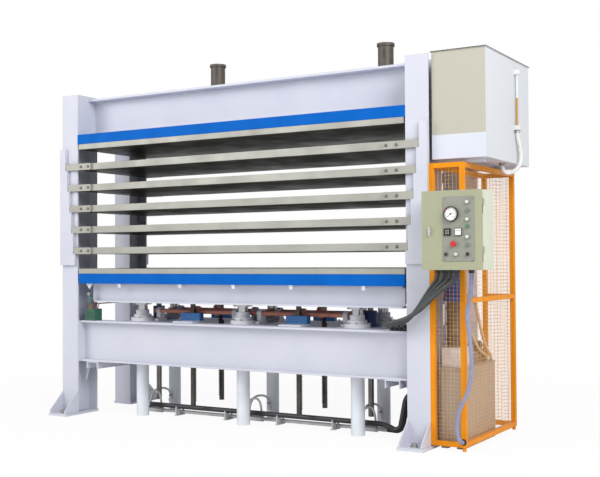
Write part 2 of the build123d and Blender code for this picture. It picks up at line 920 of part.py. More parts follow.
# Limit switch on the bed flange, with a slim post in front of the bolster
switch_x = half_span - switch_inset
post_depth = (bed_flange_width - bolster_beam_width) / 2 - slide_clearance
switch_top = bed_top + switch_height
pivot_z = switch_top + switch_post_height - switch_post_width / 2
lever_back = bed_edge_y + lever_gap
with BuildPart() as limit_switch:
    with Locations((-switch_x, -bed_edge_y, bed_top)):
        Box(switch_width, switch_depth, switch_height, align=(Align.CENTER, Align.MIN, Align.MIN))
    # cooling ribs across the front
    with BuildSketch(Plane.XZ.offset(bed_edge_y)):
        with Locations((-switch_x, bed_top + switch_height / 2)):
            with GridLocations(0, switch_height / switch_fin_count, 1, switch_fin_count):
                Rectangle(switch_width, switch_height / switch_fin_count / 2)
    extrude(amount=switch_fin)
    with BuildSketch(Plane.XZ.offset(bed_edge_y)):
        with Locations((-switch_x, switch_top)):
            Rectangle(switch_post_width, pivot_z - switch_top, align=(Align.CENTER, Align.MIN))
        with Locations((-switch_x, pivot_z)):
            Circle(switch_post_width / 2)
    extrude(amount=-post_depth)
    with BuildSketch(Plane.XZ.offset(bed_edge_y)):
        with Locations((-switch_x, pivot_z)):
            Circle(lever_pin_radius)
    extrude(amount=2 * lever_gap + lever_thickness)
save(limit_switch, "limit_switch")

# Lever with a roller end, turning on the switch's pin
with BuildPart() as switch_lever:
    with BuildSketch(Plane.XZ.offset(lever_back)):
        with Locations((-switch_x, pivot_z)):
            Circle(switch_post_width / 2)
            Rectangle(2 * lever_half_width, lever_length, align=(Align.CENTER, Align.MIN))
        with Locations((-switch_x, pivot_z + lever_length - lever_half_width)):
            Circle(lever_half_width)
        with Locations((-switch_x, pivot_z)):
            Circle(lever_pin_radius + running_clearance, mode=Mode.SUBTRACT)
    extrude(amount=lever_thickness)
save(switch_lever, "switch_lever")

# Wedge under the lower table that works the lever
with BuildPart() as switch_striker:
    with BuildSketch(Plane.XZ.offset(lever_back)):
        with BuildLine():
            Polyline(
                (-switch_x - striker_width / 2, table_bottom),
                (-switch_x + striker_width / 2, table_bottom),
                (-switch_x, table_bottom - striker_height),
                close=True,
            )
        make_face()
    extrude(amount=striker_thickness)
save(switch_striker, "switch_striker")

# Oil tank: a closed sheet box on two arms let into the right columns
tank_bottom = cage_height + slide_clearance + tank_arm_height
tank_left = column_outer + tank_gap
tank_right = tank_left + tank_width
tank_front = -front_face + tank_front_setback
tank_top = tank_bottom + tank_height
tank_center_x = (tank_left + tank_right) / 2
tank_center_y = tank_front + tank_depth / 2
arm_start = column_x + column_web / 2
arm_length = tank_right - tank_arm_end_gap - arm_start
with BuildPart() as oil_tank:
    with Locations((tank_center_x, tank_center_y, tank_bottom)):
        Box(tank_width, tank_depth, tank_height, align=standing)
    with Locations((tank_center_x, tank_center_y, tank_bottom + tank_wall)):
        Box(
            tank_width - 2 * tank_wall,
            tank_depth - 2 * tank_wall,
            tank_height - 2 * tank_wall,
            align=standing,
            mode=Mode.SUBTRACT,
        )
    with Locations((tank_center_x, tank_center_y, tank_top)):
        Box(
            tank_width + 2 * tank_lid_lip,
            tank_depth + 2 * tank_lid_lip,
            tank_lid,
            align=standing,
        )
    for row in (-1, 1):
        with Locations((arm_start, row * column_y, tank_bottom)):
            Box(arm_length, tank_arm_width, tank_arm_height, align=(Align.MIN, Align.CENTER, Align.MAX))
save(oil_tank, "oil_tank")

# Sight gauge: two valve blocks and the glass between them
gauge_x = tank_right + gauge_block / 2
gauge_top_z = tank_bottom + gauge_top_height
gauge_bottom_z = tank_bottom + gauge_bottom_height
with BuildPart() as sight_gauge:
    with Locations((gauge_x, gauge_y, gauge_top_z), (gauge_x, gauge_y, gauge_bottom_z)):
        Box(gauge_block, gauge_block, gauge_block)
    with Locations((gauge_x, gauge_y, gauge_bottom_z)):
        Cylinder(gauge_tube_radius, gauge_top_z - gauge_bottom_z, align=standing)
save(sight_gauge, "sight_gauge")

# Hose from the gauge's lower block round under the tank
gauge_foot_z = gauge_bottom_z - gauge_block / 2
tank_hose_shares = [
    (0.0, 0.0, 0.0),
    (0.0, 0.0, 0.20),
    (0.14, 0.45, 0.62),
    (0.15, 0.25, 1.08),
    (-0.50, -0.50, 1.32),
    (-0.94, -1.0, 1.24),
    (-0.94, -1.0, 1.0),
]
tank_hose_drop = gauge_foot_z - tank_bottom
with BuildPart() as tank_hose:
    hose(
        [
            (
                gauge_x + out * tank_hose_bulge,
                gauge_y + back * tank_hose_swing,
                gauge_foot_z - down * tank_hose_drop,
            )
            for out, back, down in tank_hose_shares
        ],
        tank_hose_radius,
    )
save(tank_hose, "tank_hose")

# Cage of square tube; its front left post is welded to the column and its right posts have feet
cage_left = column_outer
cage_right = cage_left + cage_width
cage_front = -front_face + cage_front_setback
cage_rear = cage_front + cage_depth
post_left_x = cage_left + cage_tube / 2
post_right_x = cage_right - cage_tube / 2
post_front_y = cage_front + cage_tube / 2
post_rear_y = cage_rear - cage_tube / 2
rail_run_x = cage_width - 2 * cage_tube
rail_run_y = cage_depth - 2 * cage_tube
cage_mid_x = (cage_left + cage_right) / 2
cage_mid_y = (cage_front + cage_rear) / 2
rail_bottoms = (cage_bottom_rail_z, cage_mid_rail_z, cage_height - cage_tube)
end_rails = ((post_front_y, (rail_bottoms[0], rail_bottoms[-1])), (post_rear_y, rail_bottoms))
with BuildPart() as cage_frame:
    for x in (post_left_x, post_right_x):
        for y in (post_front_y, post_rear_y):
            with Locations((x, y, cage_bottom_rail_z)):
                Box(cage_tube, cage_tube, cage_height - cage_bottom_rail_z, align=standing)
    for y, levels in end_rails:
        for z in levels:
            with Locations((cage_mid_x, y, z)):
                Box(rail_run_x, cage_tube, cage_tube, align=standing)
        with Locations((post_right_x, y, 0)):
            Cylinder(cage_foot_radius, cage_bottom_rail_z, align=standing)
    for z in rail_bottoms:
        with Locations((post_right_x, cage_mid_y, z)):
            Box(cage_tube, rail_run_y, cage_tube, align=standing)
    with Locations((post_left_x, cage_mid_y, cage_height - cage_tube)):
        Box(cage_tube, rail_run_y, cage_tube, align=standing)
save(cage_frame, "cage_frame")

# Mesh panels let into the cage
mesh_low = cage_bottom_rail_z + cage_tube
mesh_high = cage_height - cage_tube
panel_gaps = [(mesh_low, cage_mid_rail_z), (cage_mid_rail_z + cage_tube, mesh_high)]


def mesh_panel(plane, middle, run, low, high, columns, rows):
    """Adds one flat grid of bars to the open part."""
    column_pitch = (run - mesh_bar) / columns
    row_pitch = (high - low - mesh_bar) / rows
    with BuildSketch(plane) as grid:
        with Locations((middle, (low + high) / 2)):
            Rectangle(run, high - low)
            with GridLocations(column_pitch, row_pitch, columns, rows):
                Rectangle(column_pitch - mesh_bar, row_pitch - mesh_bar, mode=Mode.SUBTRACT)
    extrude(grid.sketch, amount=mesh_thickness / 2, both=True)


side_plane = Plane.YZ.offset(post_right_x)
front_plane = Plane.XZ.offset(-post_front_y)
rear_plane = Plane.XZ.offset(-post_rear_y)
with BuildPart() as cage_mesh:
    mesh_panel(front_plane, cage_mid_x, rail_run_x, mesh_low, mesh_high, mesh_end_columns, 2 * mesh_end_rows)
    for low, high in panel_gaps:
        mesh_panel(side_plane, cage_mid_y, rail_run_y, low, high, mesh_side_columns, mesh_side_rows)
        mesh_panel(rear_plane, cage_mid_x, rail_run_x, low, high, mesh_end_columns, mesh_end_rows)
save(cage_mesh, "cage_mesh")

# Reservoir of the power unit on two skids
reservoir_x = reservoir_left + reservoir_width / 2
reservoir_front = -front_face + reservoir_front_setback
reservoir_y = reservoir_front + reservoir_depth / 2
reservoir_top = reservoir_bottom + reservoir_height
lid_top = reservoir_top + reservoir_lid
with BuildPart() as reservoir:
    with Locations((reservoir_x, reservoir_y, reservoir_bottom)):
        Box(reservoir_width, reservoir_depth, reservoir_height, align=standing)
    with Locations((reservoir_x, reservoir_y, reservoir_bottom + reservoir_wall)):
        Box(
            reservoir_width - 2 * reservoir_wall,
            reservoir_depth - 2 * reservoir_wall,
            reservoir_height - 2 * reservoir_wall,
            align=standing,
            mode=Mode.SUBTRACT,
        )
    with Locations((reservoir_x, reservoir_y, reservoir_top)):
        Box(
            reservoir_width + reservoir_lid_lip,
            reservoir_depth + 2 * reservoir_lid_lip,
            reservoir_lid,
            align=standing,
        )
    for side in (-1, 1):
        with Locations((reservoir_x + side * (reservoir_width - skid_width) / 2, reservoir_y, 0)):
            Box(skid_width, reservoir_depth, reservoir_bottom, align=standing)
save(reservoir, "reservoir")

# Valve block: the pale manifold under the motor and a rail of valves behind it
manifold_front = reservoir_front + manifold_setback
manifold_y = manifold_front + manifold_depth / 2
manifold_top = lid_top + manifold_height
valve_rail_y = manifold_front + manifold_depth + valve_rail_gap + valve_rail_depth / 2
valve_bottom = lid_top + valve_rail_height
manifold_x = reservoir_x - manifold_shift
with BuildPart() as valve_block:
    with Locations((manifold_x, manifold_y, lid_top)):
        Box(manifold_width, manifold_depth, manifold_height, align=standing)
    with Locations((manifold_x, valve_rail_y, lid_top)):
        Box(valve_rail_width, valve_rail_depth, valve_rail_height, align=standing)
    with Locations((manifold_x, valve_rail_y, valve_bottom)):
        with GridLocations(0, valve_pitch, 1, valve_count):
            Box(valve_length, valve_width, valve_height, align=standing)
    with BuildSketch(Plane.YZ.offset(manifold_x)):
        with Locations((valve_rail_y, valve_bottom + valve_height / 2)):
            with GridLocations(valve_pitch, 0, valve_count, 1):
                Circle(coil_radius)
    extrude(amount=valve_length / 2 + coil_length, both=True)
save(valve_block, "valve_block")

# Upright pump with the motor flanged on top
motor_x = reservoir_x - motor_shift
flange_bottom = manifold_top + pump_height
motor_bottom = flange_bottom + motor_flange_height
collar_pitch = pump_height / pump_collar_count
fin_pitch = (motor_height - motor_cap_height) / motor_fin_count
with BuildPart() as pump_motor:
    with Locations((motor_x, manifold_y, manifold_top)):
        Cylinder(pump_radius, pump_height, align=standing)
    for collar in range(pump_collar_count):
        with Locations((motor_x, manifold_y, manifold_top + (collar + 0.5) * collar_pitch)):
            Cylinder(pump_collar_radius, pump_collar_height)
    with Locations((motor_x, manifold_y, flange_bottom)):
        Cylinder(motor_flange_radius, motor_flange_height, align=standing)
    with Locations((motor_x, manifold_y, motor_bottom)):
        Cylinder(motor_radius, motor_height, align=standing)
    for fin in range(motor_fin_count):
        with Locations((motor_x, manifold_y, motor_bottom + (fin + 0.5) * fin_pitch)):
            Cylinder(motor_fin_radius, motor_fin_height)
save(pump_motor, "pump_motor")

# Two hoses back to the reservoir lid, one from the motor flange and one from the manifold
unit_rise = motor_bottom - lid_top
feed_x = reservoir_x + reservoir_width / 2 - feed_inset
feed_z = (flange_bottom + motor_bottom) / 2
feed_end_y = reservoir_front + reservoir_depth - 2 * feed_inset
feed_run = feed_end_y - manifold_y
feed_shares = [(0.10, 1.06), (0.31, 0.95), (0.45, 0.72), (0.64, 0.38), (0.84, 0.16)]
drain_shares = [(0.32, 0.46), (0.50, 0.26), (0.72, 0.14)]
drain_x = feed_x - feed_gap
drain_start_x = manifold_x + manifold_width / 2 - 2 * feed_hose_radius
drain_start_y = manifold_y + manifold_depth / 2 - 2 * feed_hose_radius
drain_end_y = feed_end_y - 3 * feed_hose_radius


def down_to_lid(x, end_y, shares):
    """Lists the points of a hose that falls towards the back of the lid."""
    falling = [(x, manifold_y + along * feed_run, lid_top + up * unit_rise) for along, up in shares]
    return falling + [(x, end_y, lid_top + feed_foot), (x, end_y, lid_top)]


with BuildPart() as unit_pipes:
    flange_edge = motor_x + motor_flange_radius + seat_clearance
    feed_start = [(flange_edge, manifold_y, feed_z), (feed_x, manifold_y, feed_z)]
    hose(feed_start + down_to_lid(feed_x, feed_end_y, feed_shares), feed_hose_radius)
    drain_start = [
        (drain_start_x, drain_start_y, manifold_top),
        (drain_start_x, drain_start_y, manifold_top + 2 * feed_foot),
    ]
    hose(drain_start + down_to_lid(drain_x, drain_end_y, drain_shares), feed_hose_radius)
save(unit_pipes, "unit_pipes")

# Control cabinet on two rails across the front of the cage
cabinet_left = column_outer + cabinet_left_gap
cabinet_right = cabinet_left + cabinet_width
cabinet_back = cage_front - rail_thickness
cabinet_front = cabinet_back - cabinet_depth
cabinet_top = cabinet_bottom + cabinet_height
cabinet_x = (cabinet_left + cabinet_right) / 2
hinge_x = cabinet_right + hinge_offset
hinge_y = cabinet_front - door_gap / 2
hinge_bottoms = (cabinet_bottom + hinge_inset, cabinet_top - hinge_inset - 2 * hinge_length)
with BuildPart() as cabinet_box:
    with Locations((cabinet_x, cabinet_back, cabinet_bottom)):
        Box(cabinet_width, cabinet_depth, cabinet_height, align=(Align.CENTER, Align.MAX, Align.MIN))
    with Locations((cabinet_x, cabinet_back - cabinet_wall, cabinet_bottom + cabinet_wall)):
        Box(
            cabinet_width - 2 * cabinet_wall,
            cabinet_depth,
            cabinet_height - 2 * cabinet_wall,
            align=(Align.CENTER, Align.MAX, Align.MIN),
            mode=Mode.SUBTRACT,
        )
    for z in (cabinet_bottom + rail_inset, cabinet_top - rail_inset - rail_height):
        with Locations((cage_left, cage_front, z)):
            Box(
                cabinet_right - rail_inset - cage_left,
                rail_thickness,
                rail_height,
                align=(Align.MIN, Align.MAX, Align.MIN),
            )
    for z in hinge_bottoms:
        with Locations((cabinet_right, hinge_y, z)):
            Box(hinge_leaf, hinge_leaf_reach, hinge_length, align=(Align.MIN, Align.MIN, Align.MIN))
        with Locations((hinge_x, hinge_y, z)):
            Cylinder(hinge_radius, hinge_length, align=standing)
save(cabinet_box, "cabinet_box")

# Places on the control panel, as shares of its width and height
panel_left = cabinet_right - panel_right_inset - panel_width
panel_bottom = cabinet_bottom + panel_bottom_inset
door_face = cabinet_front - door_gap - door_depth
panel_face = door_face - panel_thickness
button_shares = [(0.796, 0.785), (0.796, 0.540), (0.796, 0.252), (0.112, 0.108)]
selector_share = (0.796, 0.108)
estop_share = (0.365, 0.267)
lamp_shares = [(0.796, 0.913), (0.796, 0.646), (0.796, 0.375), (0.433, 0.108)]
dial_share = (0.287, 0.731)
meter_shares = [(0.154, 0.453), (0.507, 0.453)]


def on_panel(share):
    """Turns shares of the panel's width and height into X and Z."""
    return (panel_left + share[0] * panel_width, panel_bottom + share[1] * panel_height)


moving_places = [on_panel(share) for share in button_shares + [selector_share, estop_share]]
lamp_places = [on_panel(share) for share in lamp_shares]

# Door: a shallow tray hinged on the right, with holes for the controls
with BuildPart() as cabinet_door:
    with Locations((cabinet_x, door_face, cabinet_bottom)):
        Box(cabinet_width, door_depth, cabinet_height, align=(Align.CENTER, Align.MIN, Align.MIN))
    with Locations((cabinet_x, door_face + door_wall, cabinet_bottom + door_wall)):
        Box(
            cabinet_width - 2 * door_wall,
            door_depth,
            cabinet_height - 2 * door_wall,
            align=(Align.CENTER, Align.MIN, Align.MIN),
            mode=Mode.SUBTRACT,
        )
    with BuildSketch(Plane.XZ.offset(-door_face)):
        with Locations(*moving_places):
            Circle(button_radius + button_gap)
    extrude(amount=-door_depth, mode=Mode.SUBTRACT)
    for z in hinge_bottoms:
        with Locations((cabinet_right, hinge_y, z + hinge_length + seat_clearance)):
            Box(
                hinge_leaf,
                hinge_leaf_reach,
                hinge_length,
                align=(Align.MIN, Align.MAX, Align.MIN),
            )
        with Locations((hinge_x, hinge_y, z + hinge_length + seat_clearance)):
            Cylinder(hinge_radius, hinge_length, align=standing)
save(cabinet_door, "cabinet_door")

# Control panel with a bezel round every control
with BuildPart() as control_panel:
    with BuildSketch(Plane.XZ.offset(-door_face)):
        with Locations((panel_left, panel_bottom)):
            Rectangle(panel_width, panel_height, align=(Align.MIN, Align.MIN))
    extrude(amount=panel_thickness)
    with BuildSketch(Plane.XZ.offset(-panel_face)):
        with Locations(*(moving_places + lamp_places)):
            Circle(bezel_radius)
            Circle(button_radius + button_gap, mode=Mode.SUBTRACT)
    extrude(amount=bezel_height)
    with BuildSketch(Plane.XZ.offset(-door_face)):
        with Locations(*moving_places):
            Circle(button_radius + button_gap)
    extrude(amount=panel_thickness, mode=Mode.SUBTRACT)
save(control_panel, "control_panel")

# Pressure dial
with BuildPart() as dial_gauge:
    with BuildSketch(Plane.XZ.offset(-panel_face)):
        with Locations(on_panel(dial_share)):
            Circle(dial_radius)
    extrude(amount=dial_depth)
    with BuildSketch(Plane.XZ.offset(-panel_face + dial_depth - dial_recess)):
        with Locations(on_panel(dial_share)):
            Circle(dial_radius - dial_rim)
    extrude(amount=dial_recess, mode=Mode.SUBTRACT)
save(dial_gauge, "dial_gauge")

# Two square panel meters
with BuildPart() as panel_meters:
    with BuildSketch(Plane.XZ.offset(-panel_face)):
        with Locations(*[on_panel(share) for share in meter_shares]):
            Rectangle(meter_side, meter_side)
    extrude(amount=meter_depth)
save(panel_meters, "panel_meters")

# Pilot lamps
with BuildPart() as pilot_lamps:
    with BuildSketch(Plane.XZ.offset(-panel_face)):
        with Locations(*lamp_places):
            Circle(button_radius)
    extrude(amount=lamp_reach)
save(pilot_lamps, "pilot_lamps")

# Push buttons
for number, share in enumerate(button_shares, start=1):
    with BuildPart() as push_button:
        with BuildSketch(Plane.XZ.offset(-panel_face - button_tail)):
            with Locations(on_panel(share)):
                Circle(button_radius)
        extrude(amount=button_tail + button_reach)
    save(push_button, f"push_button_{number}")

# Selector: a round boss with a grip bar
with BuildPart() as selector_switch:
    with BuildSketch(Plane.XZ.offset(-panel_face - button_tail)):
        with Locations(on_panel(selector_share)):
            Circle(button_radius)
    extrude(amount=button_tail + knob_reach)
    with BuildSketch(Plane.XZ.offset(-panel_face + knob_reach)):
        with Locations(on_panel(selector_share)):
            Rectangle(knob_bar_width, 2 * button_radius - 2 * button_gap)
    extrude(amount=knob_bar_depth)
save(selector_switch, "selector_switch")

# Emergency stop: a mushroom head on a plunger
with BuildPart() as estop_button:
    with BuildSketch(Plane.XZ.offset(-panel_face - button_tail)):
        with Locations(on_panel(estop_share)):
            Circle(button_radius)
    extrude(amount=button_tail + bezel_height + mushroom_gap)
    with BuildSketch(Plane.XZ.offset(-panel_face + bezel_height + mushroom_gap)):
        with Locations(on_panel(estop_share)):
            Circle(mushroom_radius)
    extrude(amount=mushroom_depth)
    fillet(estop_button.edges().group_by(Axis.Y)[0], mushroom_depth / 2)
save(estop_button, "estop_button")

# Door latch: a round boss and a grip bar
latch_x = cabinet_left + latch_x_inset
latch_z = cabinet_bottom + latch_z_share * cabinet_height
with BuildPart() as door_latch:
    with BuildSketch(Plane.XZ.offset(-door_face + seat_clearance)):
        with Locations((latch_x, latch_z)):
            Circle(latch_radius)
    extrude(amount=latch_depth)
    with BuildSketch(Plane.XZ.offset(-door_face + seat_clearance + latch_depth)):
        with Locations((latch_x, latch_z)):
            SlotOverall(latch_bar_length, latch_bar_width, rotation=90)
    extrude(amount=latch_bar_depth)
save(door_latch, "door_latch")

# Conduits from the cabinet to the bed, one lane in front of the other
conduit_end_y = -bed_edge_y + conduit_end_inset
conduit_drop = cabinet_bottom - bed_top
down_shares = (0.14, 0.46, 0.889, 0.908)
side_share = 0.32
with BuildPart() as conduits:
    for lane in range(conduit_count):
        start_x = cabinet_left + conduit_first + lane * conduit_pitch
        end_x = half_span - conduit_end_gap - lane * conduit_end_pitch
        lane_y = -front_face - conduit_standoff - lane * conduit_end_pitch
        levels = [cabinet_bottom - share * conduit_drop for share in down_shares]
        hose(
            [
                (start_x, lane_y, cabinet_bottom),
                (start_x, lane_y, levels[0]),
                (start_x + side_share * (end_x - start_x), lane_y, levels[1]),
                (end_x, lane_y, levels[2]),
                (end_x, conduit_end_y, levels[3]),
                (end_x, conduit_end_y, bed_top),
            ],
            conduit_radius,
        )
        with Locations((start_x, lane_y, cabinet_bottom)):
            Cylinder(gland_radius, gland_length, align=(Align.CENTER, Align.CENTER, Align.MAX))
save(conduits, "conduits")

# Hose from the cabinet down the cage to its bottom rail
unit_hose_shares = [
    (0.0, 0.09),
    (-0.43, 0.19),
    (-0.62, 0.25),
    (-0.40, 0.40),
    (-0.23, 0.545),
    (-0.53, 0.70),
    (-1.02, 0.78),
    (-1.32, 0.84),
    (-1.40, 0.945),
]
unit_hose_start_y = cabinet_back - cabinet_depth / 2
unit_hose_start_x = cabinet_left + unit_hose_x
unit_hose_drop = cabinet_bottom - unit_hose_end_z
unit_hose_y = cage_front - unit_hose_radius - unit_hose_standoff
with BuildPart() as unit_hose:
    route = [(unit_hose_start_x, unit_hose_start_y, cabinet_bottom)]
    for step, (sway, down) in enumerate(unit_hose_shares):
        y = unit_hose_start_y if step == 0 else unit_hose_y
        route.append((unit_hose_start_x + sway * unit_hose_sway, y, cabinet_bottom - down * unit_hose_drop))
    route.append((post_right_x, unit_hose_y, unit_hose_end_z))
    route.append((post_right_x, cage_front, unit_hose_end_z))
    hose(route, unit_hose_radius)
    with Locations((unit_hose_start_x, unit_hose_start_y, cabinet_bottom)):
        Cylinder(gland_radius, gland_length, align=(Align.CENTER, Align.CENTER, Align.MAX))
save(unit_hose, "unit_hose")
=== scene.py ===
import math

import bpy
from mathutils import Matrix, Vector


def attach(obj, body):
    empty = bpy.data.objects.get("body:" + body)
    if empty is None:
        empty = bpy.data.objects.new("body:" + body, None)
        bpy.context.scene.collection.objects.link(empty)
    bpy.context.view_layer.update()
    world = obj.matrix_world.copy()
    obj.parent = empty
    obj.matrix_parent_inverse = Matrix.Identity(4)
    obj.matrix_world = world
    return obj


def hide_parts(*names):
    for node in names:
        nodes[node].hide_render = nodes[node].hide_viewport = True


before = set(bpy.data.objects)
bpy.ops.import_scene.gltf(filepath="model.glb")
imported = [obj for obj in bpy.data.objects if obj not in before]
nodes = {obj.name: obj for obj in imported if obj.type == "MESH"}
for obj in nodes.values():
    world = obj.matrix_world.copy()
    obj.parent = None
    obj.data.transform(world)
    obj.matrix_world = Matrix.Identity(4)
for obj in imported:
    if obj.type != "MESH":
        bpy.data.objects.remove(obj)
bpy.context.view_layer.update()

# Columns: four rolled H sections welded to gusseted base plates and sprayed pale lavender.
# The enamel is a little cloudy, rubbed on its edges, and dusty where it faces up.
# A hex nut with a washer holds each base plate to the floor.


def linear(color):
    """A colour as a paint card gives it, 0 to 255, in linear light."""
    def one(value):
        share = value / 255
        return share / 12.92 if share <= 0.04045 else ((share + 0.055) / 1.055) ** 2.4
    return (*[one(value) for value in color], 1.0)


def new_group(name, inputs, outputs):
    """An empty shader node group with named sockets."""
    group = bpy.data.node_groups.new(name, "ShaderNodeTree")
    for direction, sockets in (("INPUT", inputs), ("OUTPUT", outputs)):
        for socket, kind in sockets:
            group.interface.new_socket(socket, in_out=direction, socket_type="NodeSocket" + kind)
    return group, group.nodes.new("NodeGroupInput"), group.nodes.new("NodeGroupOutput")


def math_node(tree, operation, first=None, second=None):
    """A math node; a number goes on its socket and anything else is linked to it."""
    node = tree.nodes.new("ShaderNodeMath")
    node.operation = operation
    for socket, value in zip(node.inputs, (first, second)):
        if isinstance(value, (int, float)):
            socket.default_value = value
        elif value is not None:
            tree.links.new(value, socket)
    return node.outputs["Value"]


def fade_node(tree, value, low, high):
    """Turns a value that runs from low to high into a mask from 0 to 1."""
    node = tree.nodes.new("ShaderNodeMapRange")
    node.inputs["From Min"].default_value = low
    node.inputs["From Max"].default_value = high
    tree.links.new(value, node.inputs["Value"])
    return node.outputs["Result"]


def mix_node(tree, mask, first, second):
    """A colour mix; a tuple goes on its socket and anything else is linked to it."""
    node = tree.nodes.new("ShaderNodeMix")
    node.data_type = "RGBA"
    tree.links.new(mask, node.inputs["Factor"])
    for socket, value in (("A", first), ("B", second)):
        if isinstance(value, tuple):
            node.inputs[socket].default_value = value
        else:
            tree.links.new(value, node.inputs[socket])
    return node.outputs["Result"]


def noise_node(tree, size, detail=3.0):
    """Noise on the piece's own coordinates."""
    place = tree.nodes.new("ShaderNodeTexCoord")
    node = tree.nodes.new("ShaderNodeTexNoise")
    node.inputs["Detail"].default_value = detail
    tree.links.new(place.outputs["Object"], node.inputs["Vector"])
    if isinstance(size, (int, float)):
        node.inputs["Scale"].default_value = size
    else:
        tree.links.new(size, node.inputs["Scale"])
    return node.outputs["Fac"]


def build_mottle():
    """Node group: broad cloudy patches between two colours, with a fine grain in them."""
    group, given, result = new_group(
        "mottle",
        (("Main", "Color"), ("Patch", "Color"), ("Patch Size", "Float"), ("Amount", "Float")),
        (("Color", "Color"), ("Mask", "Float")))
    cloud = noise_node(group, given.outputs["Patch Size"], detail=7.0)
    mask = fade_node(group, cloud, low=0.35, high=0.75)
    share = math_node(group, "MULTIPLY", mask, given.outputs["Amount"])
    color = mix_node(group, share, given.outputs["Main"], given.outputs["Patch"])
    group.links.new(color, result.inputs["Color"])
    group.links.new(mask, result.inputs["Mask"])
    return group


def build_settled_dust():
    """Node group: a spotty film of dust on faces that look up."""
    group, given, result = new_group(
        "settled_dust", (("Color", "Color"), ("Dust", "Color"), ("Amount", "Float")), (("Color", "Color"),))
    shape = group.nodes.new("ShaderNodeNewGeometry")
    parts = group.nodes.new("ShaderNodeSeparateXYZ")
    group.links.new(shape.outputs["Normal"], parts.inputs["Vector"])
    upward = fade_node(group, parts.outputs["Z"], low=0.3, high=1.0)
    spotty = math_node(group, "MULTIPLY", upward, noise_node(group, size=60.0))
    share = math_node(group, "MULTIPLY", spotty, given.outputs["Amount"])
    color = mix_node(group, share, given.outputs["Color"], given.outputs["Dust"])
    group.links.new(color, result.inputs["Color"])
    return group


def build_rubbed_edge():
    """Node group: a mask along sharp edges, broken up by noise, and a normal that rounds them off."""
    group, given, result = new_group(
        "rubbed_edge", (("Radius", "Float"),), (("Mask", "Float"), ("Normal", "Vector")))
    soft = group.nodes.new("ShaderNodeBevel")
    soft.samples = 4
    group.links.new(given.outputs["Radius"], soft.inputs["Radius"])
    shape = group.nodes.new("ShaderNodeNewGeometry")
    dot = group.nodes.new("ShaderNodeVectorMath")
    dot.operation = "DOT_PRODUCT"
    group.links.new(soft.outputs["Normal"], dot.inputs[0])
    group.links.new(shape.outputs["Normal"], dot.inputs[1])
    turned = math_node(group, "SUBTRACT", 1.0, dot.outputs["Value"])
    edge = fade_node(group, turned, low=0.01, high=0.15)
    broken = fade_node(group, noise_node(group, size=45.0, detail=5.0), low=0.42, high=0.62)
    group.links.new(math_node(group, "MULTIPLY", edge, broken), result.inputs["Mask"])
    group.links.new(soft.outputs["Normal"], result.inputs["Normal"])
    return group


def build_two_zone():
    """Node group: one colour before a plane and another past it."""
    group, given, result = new_group(
        "two_zone",
        (("Before", "Color"), ("Past", "Color"), ("Direction", "Vector"), ("At", "Float")),
        (("Color", "Color"),))
    place = group.nodes.new("ShaderNodeTexCoord")
    along = group.nodes.new("ShaderNodeVectorMath")
    along.operation = "DOT_PRODUCT"
    group.links.new(place.outputs["Object"], along.inputs[0])
    group.links.new(given.outputs["Direction"], along.inputs[1])
    past = math_node(group, "GREATER_THAN", along.outputs["Value"], given.outputs["At"])
    color = mix_node(group, past, given.outputs["Before"], given.outputs["Past"])
    group.links.new(color, result.inputs["Color"])
    return group


def build_shaded_level_faces():
    """Node group: a painted shade colour on faces that look up or down and the given colour on the sides."""
    group, given, result = new_group(
        "shaded_level_faces", (("Side", "Color"), ("Flat", "Color")), (("Color", "Color"),))
    shape = group.nodes.new("ShaderNodeNewGeometry")
    parts = group.nodes.new("ShaderNodeSeparateXYZ")
    group.links.new(shape.outputs["Normal"], parts.inputs["Vector"])
    steepness = math_node(group, "ABSOLUTE", parts.outputs["Z"])
    level = fade_node(group, steepness, low=0.7, high=0.9)
    color = mix_node(group, level, given.outputs["Side"], given.outputs["Flat"])
    group.links.new(color, result.inputs["Color"])
    return group


mottle = build_mottle()
settled_dust = build_settled_dust()
rubbed_edge = build_rubbed_edge()
two_zone = build_two_zone()
shaded_level_faces = build_shaded_level_faces()
dust_grey = (150, 148, 142)
ripple_height = 0.001


